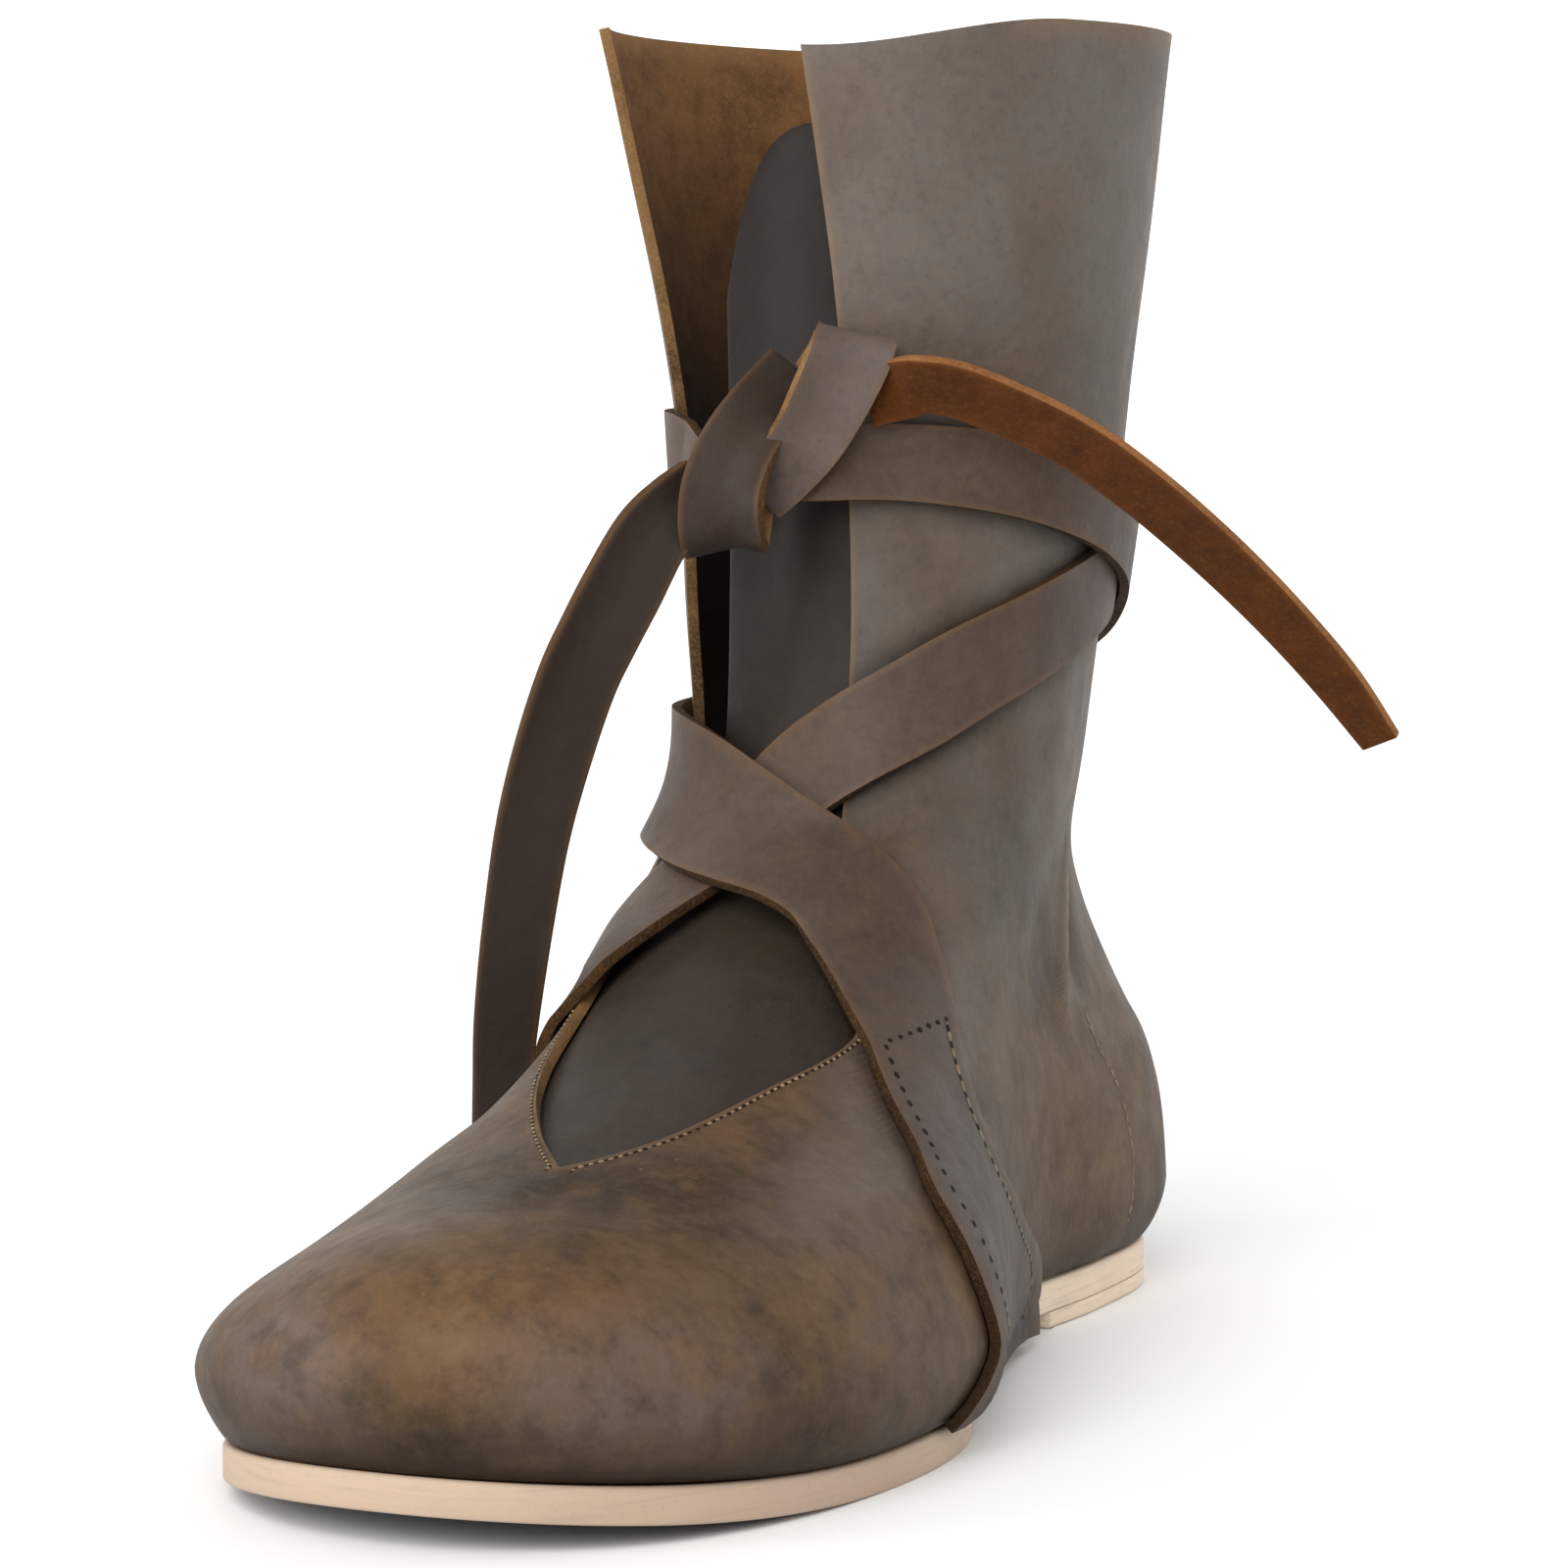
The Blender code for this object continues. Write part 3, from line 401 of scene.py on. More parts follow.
def boot(turn, level, flap=False, tuck=FEATHER_TUCK):
    """A point on the outside of the boot.

    flap opens the inner front of the leg, and tuck is the swell at the sole.
    """
    if abs(turn) > 1:
        turn -= math.copysign(2, turn)
    ring = ring_at(level)
    share = along(turn)
    y = mix(ring.front_y, ring.back_y, share)
    z = mix(ring.front_z, ring.back_z, share)
    arc = math.sin(math.pi * abs(turn))
    if level < 1:
        swell = mix(tuck, SIDE_SWELL, math.sin(max(0.0, level) * math.pi / 2) ** SWELL_RISE)
        half = sole_half_width(turn) + swell * swell_share(turn)
    else:
        oval = getattr(ring, side_name(turn)) * arc * (1 + ring.egg * math.cos(math.pi * turn))
        half = mix(foot_half_width(y, z, turn), oval, ring.leg)
    if level < 2:
        feather = RINGS[0]
        seat = sole_bottom(y) + SOLE_THICK + SEAM_GAP - mix(feather.front_z, feather.back_z, share)
        z += seat * (1 - max(0.0, level) / 2)
    x = math.copysign(half, turn) if turn else 0.0
    if level > TOP_RING - 1 and not flap:
        z -= COLLAR_DIP * (level - TOP_RING + 1) * ease((DIP_TURN - abs(turn)) / DIP_TURN)
    if flap and z > FLAP_Z:
        height = (z - FLAP_Z) / (COLLAR_Z - FLAP_Z)
        opened = FLAP_FLARE * height ** FLAP_CURVE * ease((FLAP_BACK + turn) / FLAP_SPAN)
        x += opened * FLAP_WAY[0]
        y += opened * FLAP_WAY[1]
    return Vector((x, y, z + toe_rise(y)))


def slopes(turn, level):
    """How the outside of the boot runs per unit of turn and per level."""
    step = 0.03
    high = min(TOP_RING, level + step)
    across = (boot(turn + step, level) - boot(turn - step, level)) / (2 * step)
    up = (boot(turn, high) - boot(turn, level - step)) / (high - level + step)
    return across, up


def outward(turn, level):
    across, up = slopes(turn, level)
    return across.cross(up).normalized()


def skin(turn, level, off):
    """A point at a distance off from the outside of the boot, measured square to it."""
    return boot(turn, level) + outward(turn, level) * off


@lru_cache(maxsize=None)
def crease_line(crease, steps=14):
    """Points along a crease, and how strong it is at each."""
    turns, levels = zip(*crease.path)
    places = range(len(turns))
    line = []
    for k in range(steps + 1):
        at = k / steps * places[-1]
        line.append(boot(smooth(places, turns, at), smooth(places, levels, at)))
    return np.array(line), np.sin(np.linspace(0, math.pi, steps + 1)) ** 0.6


def relief(points):
    """How far the worn leather stands out from the even surface at each point, in millimetres."""
    points = np.asarray(points, float)
    out = np.zeros(len(points))
    for crease in CREASES:
        line, strength = crease_line(crease)
        near = np.full(len(points), 1e9)
        force = np.zeros(len(points))
        for a, b, low, high in zip(line, line[1:], strength, strength[1:]):
            share = np.clip((points - a) @ (b - a) / ((b - a) @ (b - a)), 0, 1)
            away = np.linalg.norm(points - a - share[:, None] * (b - a), axis=1)
            closer = away < near
            near[closer] = away[closer]
            force[closer] = (low + (high - low) * share)[closer]
        out += crease.height * force * fade(near, crease.half)
    soft = [noise.noise(Vector(p) / UNEVEN_SIZE + UNEVEN_SHIFT) for p in points]
    return out + UNEVEN_HEIGHT * np.array(soft)


def linear(code):
    """Linear colour of a hex code."""
    parts = [int(code[i:i + 2], 16) / 255 for i in (1, 3, 5)]
    return tuple(v / 12.92 if v <= 0.04045 else ((v + 0.055) / 1.055) ** 2.4 for v in parts) + (1.0,)


def node(tree, kind, links=None, **settings):
    """Add a node; links gives its sockets a value or another node's output. Gives the new node's outputs."""
    made = tree.nodes.new("ShaderNode" + kind)
    for name, value in settings.items():
        setattr(made, name, value)
    for socket, value in (links or {}).items():
        if isinstance(value, bpy.types.NodeSocket):
            tree.links.new(value, made.inputs[socket])
        else:
            made.inputs[socket].default_value = value
    return made.outputs


def patches(tree, size, low, high, most=1.0, least=0.0, detail=3.0, rough=0.55, stretch=(1, 1, 1), lean=0.0,
            shift=0.0):
    """Cloudy patches about size millimetres across; they go from least to most as the noise goes from low to
    high."""
    place = node(tree, "TexCoord")["Object"]
    turned = {0: place, 1: (shift,) * 3, 2: (lean, lean, 0.0), 3: stretch}
    scaled = node(tree, "Mapping", turned, vector_type="TEXTURE")[0]
    sizes = {"Vector": scaled, "Scale": 1 / (size * MM), "Detail": detail, "Roughness": rough}
    noisy = node(tree, "TexNoise", sizes)[0]
    return node(tree, "MapRange", {0: noisy, 1: low, 2: high, 3: least, 4: most})[0]


def flecks(tree, size, width, most):
    """Small spots about size millimetres apart, where the wax is knocked off."""
    place = node(tree, "TexCoord")["Object"]
    spots = node(tree, "TexVoronoi", {"Vector": place, "Scale": 1 / (size * MM)})[0]
    small = node(tree, "MapRange", {0: spots, 1: width / size, 2: 0.3 * width / size, 3: 0.0, 4: most})[0]
    return node(tree, "Math", {0: small, 1: patches(tree, 7, 0.5, 0.6)}, operation="MULTIPLY")[0]


def layered(tree, base, *layers):
    """Colour of a surface: a base and the layers over it, each with its mask and its colour.

    A mask that is a name stands for the value painted under that name on the piece.
    """
    colour = linear(base)
    for mask, code in layers:
        if isinstance(mask, str):
            mask = node(tree, "Attribute", attribute_name=mask)["Fac"]
        colour = node(tree, "Mix", {0: mask, 6: colour, 7: linear(code)}, data_type="RGBA")[2]
    return colour


def start_material(name):
    made = bpy.data.materials.new(name)
    made.use_nodes = True
    tree = made.node_tree
    return made, tree, tree.nodes["Principled BSDF"]


def finish_material(tree, shader, colour, height, depth, roughness, specular, coat=0.0):
    """Join colour, relief and gloss to the shader; a height of 0 to 1 stands for depth millimetres."""
    tree.links.new(colour, shader.inputs["Base Color"])
    relief_out = node(tree, "Bump", {"Height": height, "Distance": depth * MM, "Strength": 1.0})[0]
    tree.links.new(relief_out, shader.inputs["Normal"])
    if isinstance(roughness, bpy.types.NodeSocket):
        tree.links.new(roughness, shader.inputs["Roughness"])
    else:
        shader.inputs["Roughness"].default_value = roughness
    shader.inputs["Specular IOR Level"].default_value = specular
    shader.inputs["Coat Weight"].default_value = coat
    shader.inputs["Coat Roughness"].default_value = 0.4   # rubbed wax


def pull_up_leather(name, shift, cool, warm, olive, bloom_and_sheen, dark, pale, tan):
    """Oiled pull-up leather: full grain soaked with wax, dark and dull-glossed.

    It is paler where it is bent or rubbed, and olive or greyish where the wax has moved and bloomed. Painted
    sheen and painted shade lie over it.
    """
    made, tree, shader = start_material(name)
    browned = node(tree, "Attribute", attribute_name="warm")["Fac"]
    drift = patches(tree, 52, 0.36, 0.64, most=0.2, least=-0.2, shift=shift)
    warmth = node(tree, "Math", {0: browned, 1: drift}, operation="ADD", use_clamp=True)[0]
    tones = []
    # rubbed is worn colour; the sheen mask adds a painted sheen to random cloudy patches; dark is dark
    # patches and painted shade
    for spots, code, size in (("rubbed", olive, 34), ("painted_sheen", bloom_and_sheen, 30), ("dark", dark, 33)):
        placed = node(tree, "Attribute", attribute_name=spots)["Fac"]
        cloud = patches(tree, size, 0.48, 0.74, most=0.4, rough=0.5, shift=shift + size)
        mask = node(tree, "Math", {0: placed, 1: cloud}, operation="ADD", use_clamp=True)[0]
        ragged = patches(tree, 9, 0.3, 0.7, least=0.65, detail=4, rough=0.6, shift=size)
        tones.append((node(tree, "Math", {0: mask, 1: ragged}, operation="MULTIPLY")[0], code))
    for code, size in ((olive, 9), (dark, 7)):
        mottle = patches(tree, size, 0.47, 0.68, most=0.5, detail=4, rough=0.6, shift=shift + size)
        tones.append((node(tree, "Math", {0: mottle, 1: warmth}, operation="MULTIPLY")[0], code))
    # scratches are hair-fine, and are drawn about half a millimetre wide to show
    lines = patches(tree, 0.55, 0.7, 0.77, most=0.3, detail=2, stretch=(1, 1, 16), lean=0.35, shift=shift)
    crossed = patches(tree, 0.6, 0.7, 0.77, most=0.2, detail=2, stretch=(16, 1, 1), lean=-0.5)
    colour = layered(
        tree, cool, (warmth, warm), *tones,
        (patches(tree, 2.6, 0.46, 0.72, most=0.2, detail=5, rough=0.7), pale),
        (patches(tree, 1.9, 0.5, 0.72, most=0.25, detail=5, rough=0.7, shift=0.2), dark),
        (crossed, pale), (lines, pale), (flecks(tree, 6, 0.55, 0.5), tan),
        # the dark line at the sole joint and the painted shade, then pale pulls and rubbed edges
        ("joint_line_and_shade", dark), ("pull", pale), ("rub", tan),
    )
    wrinkles = patches(tree, 8, 0.25, 0.75, detail=2, rough=0.45, shift=shift + 4)
    # the pores of the grain are too fine to show, so they are drawn at 0.8 mm
    grain = patches(tree, 0.8, 0.3, 0.7, most=0.25, rough=0.6)
    height = node(tree, "Math", {0: wrinkles, 1: grain}, operation="ADD")[0]
    height = node(tree, "Math", {0: height, 1: lines}, operation="SUBTRACT")[0]
    gloss = patches(tree, 8, 0.3, 0.7, most=0.66, least=0.5, detail=4)
    finish_material(tree, shader, colour, height, depth=0.2, roughness=gloss, specular=0.12, coat=0.12)
    return made


def flesh_suede(name, base, dark, pale, ruddy):
    """Flesh side of the leather, split and brushed: a short matt nap with darker strokes."""
    made, tree, shader = start_material(name)
    colour = layered(
        tree, base, (patches(tree, 26, 0.4, 0.65, most=0.8, detail=4), ruddy),
        (patches(tree, 7, 0.42, 0.72, most=0.8, detail=5, rough=0.65), dark),
        (patches(tree, 0.9, 0.5, 0.8, most=0.5, detail=4, rough=0.7), pale),
        # near black where the painted shade inside the shaft is deepest
        ("rub", pale), ("depth", "#140c07"),
    )
    # the fibres of the nap are too fine to show, so they are drawn at 0.5 mm
    nap = patches(tree, 0.5, 0.25, 0.75, detail=4, rough=0.75)
    finish_material(tree, shader, colour, nap, depth=0.2, roughness=0.92, specular=0.08)
    shader.inputs["Sheen Weight"].default_value = 0.04
    return made


def cut_edge(name, base, dark, pale):
    """Raw cut edge: the fibre inside the hide, tan where it is fresh and dark where wax has closed it."""
    made, tree, shader = start_material(name)
    colour = layered(
        tree, base, (patches(tree, 16, 0.42, 0.62, most=0.9, detail=4), dark),
        # the cut edges take the painted shade of their piece too
        (patches(tree, 0.6, 0.45, 0.75, most=0.6, detail=4, rough=0.75), pale), ("joint_line_and_shade", dark),
    )
    # the bundles of fibre are too fine to show, so they are drawn at 0.4 mm
    fibre = patches(tree, 0.4, 0.25, 0.75, detail=4, rough=0.75)
    finish_material(tree, shader, colour, fibre, depth=0.2, roughness=0.85, specular=0.2)
    return made


def sole_leather(name, base, warm, worn, dark):
    """Vegetable-tanned sole leather: pale, dense and smooth, with its edge cut clean and left natural."""
    made, tree, shader = start_material(name)
    fibre = patches(tree, 3, 0.5, 0.8, most=0.5, detail=4, rough=0.6, stretch=(4, 4, 0.35))
    rise = node(tree, "Attribute", attribute_name="rise")["Fac"]
    foot = node(tree, "MapRange", {0: rise, 1: 0.1, 2: 0.0, 3: 0.0, 4: 0.4})[0]
    colour = layered(
        # the edge takes more of the colour given as worn towards the toe
        tree, base, (patches(tree, 30, 0.35, 0.7, most=0.7, detail=4), warm), (fibre, warm), ("toe_darkening", worn),
        (patches(tree, 1.2, 0.6, 0.8, most=0.35), dark), (foot, dark),
        (patches(tree, 2.2, 0.52, 0.74, most=0.3, stretch=(7, 7, 0.3)), dark),
    )
    # the dense fibre of the cut is too fine to show, so it is drawn at 0.6 mm
    grit = patches(tree, 0.6, 0.25, 0.75, detail=4, rough=0.7)
    finish_material(tree, shader, colour, grit, depth=0.05, roughness=0.6, specular=0.3)
    return made


def sewing_thread(name, base, dark):
    """Waxed linen thread, twisted and drawn tight into its holes: dull, with darker lengths."""
    made, tree, shader = start_material(name)
    colour = layered(tree, base, (patches(tree, 3, 0.4, 0.7), dark))
    # the fibres of the twist are too fine to show, so they are drawn at 0.25 mm
    twist = patches(tree, 0.25, 0.3, 0.7)
    finish_material(tree, shader, colour, twist, depth=0.05, roughness=0.7, specular=0.3)
    return made


def add_piece(name, points, faces, materials, node_name=None):
    """One object from points in millimetres, riding on the boot."""
    mesh = bpy.data.meshes.new(name)
    mesh.from_pydata([tuple(c * MM for c in point) for point in points], [], faces)
    mesh.validate()
    mesh.shade_smooth()
    piece = bpy.data.objects.new(name, mesh)
    bpy.context.scene.collection.objects.link(piece)
    for look in materials:
        mesh.materials.append(look)
    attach(piece, "root")
    if node_name:
        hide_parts(node_name)
    return piece


def paint(piece, name, values):
    """Put a value on each point of a piece, for its material to read."""
    layer = piece.data.attributes.new(name, "FLOAT", "POINT")
    layer.data.foreach_set("value", np.asarray(values, np.float32))


def thicken(piece, thickness, inward=True):
    """Give a sheet its thickness; its edge takes the second material and its other side the third."""
    solid = piece.modifiers.new("Thickness", "SOLIDIFY")
    solid.thickness = thickness * MM
    solid.offset = -1.0 if inward else 1.0
    solid.material_offset_rim = 1
    solid.material_offset = 2
    rounded = piece.modifiers.new("Cut edge", "BEVEL")
    rounded.width = EDGE_ROUND * MM
    rounded.segments = 2
    rounded.limit_method = "ANGLE"
    rounded.angle_limit = math.radians(55)


def quads(rows):
    """Faces over rows of point numbers; repeated points in a face are left out."""
    faces = []
    for low, high in zip(rows, rows[1:]):
        for a, b, c, d in zip(low, low[1:], high[1:], high):
            corners = list(dict.fromkeys((a, b, c, d)))
            if len(corners) > 2:
                faces.append(corners)
    return faces


def grid_numbers(rows, columns):
    return [list(range(i * columns, (i + 1) * columns)) for i in range(rows)]


def edge_distance(grid):
    """Distance of each point of a grid from its two long edges, in millimetres."""
    grid = np.asarray(grid, float)
    steps = np.linalg.norm(np.diff(grid, axis=1), axis=2)
    reach = np.concatenate([np.zeros((len(grid), 1)), np.cumsum(steps, axis=1)], axis=1)
    return np.minimum(reach, reach[:, -1:] - reach)


def make_camera():
    data = bpy.data.cameras.new("camera")
    data.lens = CAMERA_LENS
    data.sensor_width = 36.0
    camera = bpy.data.objects.new("camera", data)
    camera.location = CAMERA_AT
    camera.rotation_euler = Vector(CAMERA_LOOK).to_track_quat("-Z", "Y").to_euler()
    bpy.context.scene.collection.objects.link(camera)
    bpy.context.scene.camera = camera


def make_ribbon(name, rows, materials, steps, joint_line_and_shade=0.0, painted_sheen=0.0, cross=12):
    """A free flat strap through its rows. Also gives its middle line."""
    places = range(len(rows))
    ahead = 0.02

    def middle(at):
        return Vector(smooth(places, column(rows, axis), at) for axis in ("x", "y", "z"))

    grid, line = [], []
    for i in range(steps + 1):
        at = i / steps * places[-1]
        face = Vector(smooth(places, axis, at) for axis in zip(*column(rows, "face")))
        run = middle(min(at + ahead, places[-1])) - middle(max(at - ahead, 0.0))
        side = face.cross(run).normalized() * smooth(places, column(rows, "half"), at)
        curl = smooth(places, column(rows, "curl"), at)
        row = []
        for j in range(cross + 1):
            share = 1 - 2 * j / cross
            lift = abs(curl) * max(0.0, math.copysign(share, share * curl)) ** 2
            row.append(middle(at) + side * share + face.normalized() * lift)
        line.append(middle(at))
        grid.append(row)
    numbers = grid_numbers(len(grid), cross + 1)
    piece = add_piece(name, sum(grid, []), quads(numbers), materials, name)
    paint(piece, "rub", RUB * fade(edge_distance(grid).ravel(), RUB_REACH))
    # painted shade and painted sheen, the same over the whole strap
    paint(piece, "joint_line_and_shade", np.full(len(grid) * (cross + 1), joint_line_and_shade))
    paint(piece, "painted_sheen", np.full(len(grid) * (cross + 1), painted_sheen))
    thicken(piece, END_THICK)
    return piece, [point * MM for point in line]


def wear_upper(piece, even, turns, levels, edges, out, straps):
    """Paint the wear of the upper, and the painted sheen and painted shade on it.

    edges is how far each point is from a cut edge, and out how far it stands out from the even surface.
    """
    paint(piece, "rub", RUB * fade(edges, RUB_REACH))
    paint(piece, "pull", np.clip(out - PULL_FROM, 0, 1) * PULL)
    # placed spots: worn colour, a painted sheen, and dark patches with painted shade
    for name, spots in (("rubbed", RUBBED_SPOTS), ("painted_sheen", SHEEN_SPOTS), ("dark", DARK_AND_SHADE_SPOTS)):
        total = np.zeros(len(even))
        for spot in spots:
            away = np.linalg.norm(even - np.array(boot(spot.turn, spot.level)), axis=1)
            total += spot.strength * fade(away, spot.wide)
        paint(piece, name, np.clip(total, 0, PAINTED_MOST))
    # painted shade inside the shaft, darker further down
    paint(piece, "depth", INSIDE_SHADE * np.clip((INSIDE_TOP - levels) / INSIDE_SPAN, 0, 1) ** INSIDE_CURVE)
    # painted shade beside the straps, in deep creases, on the leg under the knot and low over the sole, over
    # a dark line at the joint with the sole
    finder = KDTree(len(straps))
    for k, point in enumerate(straps):
        finder.insert(point, k)
    finder.balance()
    near = np.array([finder.find(point)[2] for point in even])
    joint_line_and_shade = sum(strength * fade(levels, reach) for strength, reach in SOLE_LINE_AND_SHADE)
    front = np.clip((LEG_TURN - np.abs(turns)) / LEG_FADE, 0, 1)
    joint_line_and_shade += LEG_SHADE * fade(levels - LEG_LEVEL, LEG_REACH) * front
    joint_line_and_shade += TROUGH_SHADE * np.clip(-out - TROUGH_FROM, 0, 1)
    paint(piece, "joint_line_and_shade", np.clip(joint_line_and_shade + STRAP_SHADE * fade(near, STRAP_SHADE_REACH), 0, PAINTED_MOST))
    behind = 1 - BACK_GREY * np.clip((np.abs(turns) - BACK_TURN) / BACK_FADE, 0, 1)
    side = np.clip((turns - SIDE_FRONT) / SIDE_IN, 0, 1) * np.clip((SIDE_BACK - turns) / SIDE_OUT, 0, 1)
    side *= np.clip((levels - SIDE_LEVEL) / SIDE_RISE, 0, 1)
    brown = np.clip((BROWN_TOP - even[:, 2]) / BROWN_SPAN, BROWN_LEAST, 1)
    paint(piece, "warm", behind * brown * (1 - SIDE_GREY * side))


def make_upper(materials, straps, rows_per_ring=12, side_steps=100):
    """Vamp, quarters and shaft in one wall: closed rings up to the V, open in front above it."""
    points, rows, edges, places = [], [], [], []
    for i in range(rows_per_ring * TOP_RING + 1):
        level = i / rows_per_ring
        outer = inner = 0.0
        if level > THROAT_RING:
            outer = read(FRONT_EDGES, "ring", "outer", level)
            inner = read(FRONT_EDGES, "ring", "inner", level)
        turns = [mix(outer, 1.0, j / side_steps) for j in range(side_steps)]
        turns += [mix(-1.0, inner, j / side_steps) for j in range(side_steps + 1)]
        row = list(range(len(points), len(points) + len(turns)))
        if level <= THROAT_RING:
            turns.pop()
            row[-1] = row[0]
        ring = [boot(turn, level, flap=j > side_steps) for j, turn in enumerate(turns)]
        points += ring
        places += [(turn, level) for turn in turns]
        rows.append(row)
        if level < THROAT_RING:
            edges += [NO_EDGE] * len(ring)
        else:
            collar = COLLAR_Z - np.array(ring)[:, 2] if level > COLLAR_NEAR else NO_EDGE
            edges += list(np.minimum(edge_distance([ring])[0], collar))
    faces = quads(rows)
    even = np.array(points)
    corners = np.array([f if len(f) == 4 else f + f[-1:] for f in faces])
    flat = np.cross(even[corners[:, 2]] - even[corners[:, 0]], even[corners[:, 3]] - even[corners[:, 1]])
    normals = np.zeros_like(even)
    for k in range(4):
        np.add.at(normals, corners[:, k], flat)
    normals /= np.linalg.norm(normals, axis=1)[:, None]
    out = relief(even)
    piece = add_piece("upper", even + normals * out[:, None], faces, materials, "upper")
    turns, levels = np.array(places).T
    wear_upper(piece, even, turns, levels, np.array(edges), out, straps)
    thicken(piece, WALL)


def make_tongue(materials, steps=90, cross=40):
    """The tongue, lying under the upper from the V to its rounded top."""
    grid = []
    for i in range(steps + 1):
        row = []
        for j in range(cross + 1):
            across = 2 * j / cross - 1
            level = mix(TONGUE_WIDTHS[0].ring, TONGUE_TOP - TONGUE_CORNER * abs(across) ** 3, i / steps)
            turn = across * read(TONGUE_WIDTHS, "ring", "outer" if across > 0 else "inner", level)
            row.append(skin(turn, level, -(WALL + TONGUE_GAP)))
        grid.append(row)
    faces = quads(grid_numbers(len(grid), cross + 1))
    piece = add_piece("tongue", sum(grid, []), faces, materials, "tongue")
    paint(piece, "rub", TONGUE_RUB * fade(edge_distance(grid).ravel(), RUB_REACH))
    # painted shade, darker towards the top
    paint(piece, "joint_line_and_shade", np.repeat(np.linspace(*TONGUE_SHADE, steps + 1), cross + 1))
    paint(piece, "warm", np.full(len(grid) * (cross + 1), TONGUE_WARM))
    thicken(piece, TONGUE_THICK)


def strap_lift(lift):
    """Visible lift of a strap: the leather settles closer than the plain solids do."""
    share = max(0.0, lift - STRAP_SETTLED) / (STRAP_OVER - STRAP_SETTLED)
    return mix(STRAP_REST, STRAP_CROSSING, share)


def strap_foot(rows, steps, cross):
    """Rows of places (turn, level, lift, hang) over the sewn foot of a strap."""
    grid = []
    for i in range(steps):
        front, front_level, rear, rear_level, lift = table_point(rows, i / steps * (len(rows) - 1))
        row = []
        for j in range(cross + 1):
            share = j / cross
            place = mix(front, rear, share), mix(front_level, rear_level, share), strap_lift(lift), share
            row.append(place)
        grid.append(row if front > 0 else row[::-1])
    return grid


def strap_run(rows, steps, cross):
    """Rows of places over the run of a strap, each row square to the run."""
    grid = []
    ahead = 0.01
    for i in range(steps + 1):
        at = mix(RUN_START, len(rows) - 1, i / steps)
        turn, level, half, lift = table_point(rows, at)
        before, after = table_point(rows, at - ahead), table_point(rows, at + ahead)
        across, up = slopes(turn, level)
        run = (across * (after[0] - before[0]) + up * (after[1] - before[1])).normalized()
        side = across.cross(up).normalized().cross(run)
        aa, ab, bb = across.dot(across), across.dot(up), up.dot(up)
        row = []
        for j in range(cross + 1):
            # the step along the surface that goes this far to the side of the run
            reach = side * half * (1 - 2 * j / cross)
            ra, rb = reach.dot(across), reach.dot(up)
            area = aa * bb - ab * ab
            d_turn, d_level = (ra * bb - rb * ab) / area, (rb * aa - ra * ab) / area
            row.append((turn + d_turn, level + d_level, strap_lift(lift), 0.0))
        grid.append(row)
    return grid


def laid(places):
    """Points for places (turn, level, lift, hang) on the worn boot, and the way outward at each.

    With hang they go straight down past the sole.
    """
    lowest_way = 0.25   # below this level the surface turns under
    even, ways = [], []
    for turn, level, _, hang in places:
        point = boot(turn, level, tuck=mix(FEATHER_TUCK, FOOT_CLEAR, hang))
        way = outward(turn, max(level, lowest_way))
        if level < 1:
            point.z -= LEVEL_DROP * max(0.0, -level)
            way.z *= 1 - hang
            way.normalize()
        even.append(point)
        ways.append(way)
    even, ways = np.array(even), np.array(ways)
    lifts = np.array([place[2] for place in places])
    return even + ways * (lifts + relief(even))[:, None], ways


def make_strap(name, foot, rows, materials, foot_steps=70, run_steps=260, cross=12):
    """A flat strap that lies on the boot, from its foot to its end under the knot. Gives its points."""
    grid = strap_foot(foot, foot_steps, cross) + strap_run(rows, run_steps, cross)
    points, _ = laid(sum(grid, []))
    faces = quads(grid_numbers(len(grid), cross + 1))
    piece = add_piece(name, points, faces, materials, name)
    away = edge_distance(points.reshape(len(grid), cross + 1, 3)).ravel()
    paint(piece, "rub", STRAP_RUB * fade(away, STRAP_RUB_REACH))
    # painted shade on the foot, at the sole and below the instep
    levels = np.array([place[1] for row in grid for place in row])
    instep = np.clip((INSTEP_LEVEL - levels) / INSTEP_FADE, 0, 1)
    paint(piece, "joint_line_and_shade", FOOT_SHADE * fade(levels, FOOT_SHADE_REACH) + INSTEP_SHADE * instep)
    paint(piece, "warm", np.full(len(points), STRAP_WARM))
    thicken(piece, STRAP_THICK, inward=False)
    return points


def foot_row(rows, sewn):
    """Places along a row of sewing on the foot of a strap."""
    line = []
    for k in range(ROW_STEPS + 1):
        at = mix(sewn.first, sewn.last, k / ROW_STEPS)
        front, front_level, rear, rear_level, lift = table_point(rows, at)
        share = mix(sewn.share_first, sewn.share_last, k / ROW_STEPS)
        top = strap_lift(lift) + STRAP_THICK
        line.append((mix(front, rear, share), mix(front_level, rear_level, share), top, share))
    return line


def throat_row(edge_name, side, low, high, inset):
    """Places along a front edge of the upper, inset millimetres from it."""
    line = []
    for k in range(ROW_STEPS + 1):
        level = mix(low, high, k / ROW_STEPS)
        turn = read(FRONT_EDGES, "ring", edge_name, max(level, THROAT_RING))
        across, _ = slopes(turn + 0.01 * side, level)
        line.append((turn + side * inset / across.length, level, 0.0, 0.0))
    return line


def counter_row(side):
    """Places along the seam of the heel stiffener on one side."""
    turns, levels = zip(*COUNTER_SEAM)
    steps = range(len(turns))
    at = [k / ROW_STEPS * steps[-1] for k in range(ROW_STEPS + 1)]
    return [(side * smooth(steps, turns, a), smooth(steps, levels, a), 0.0, 0.0) for a in at]


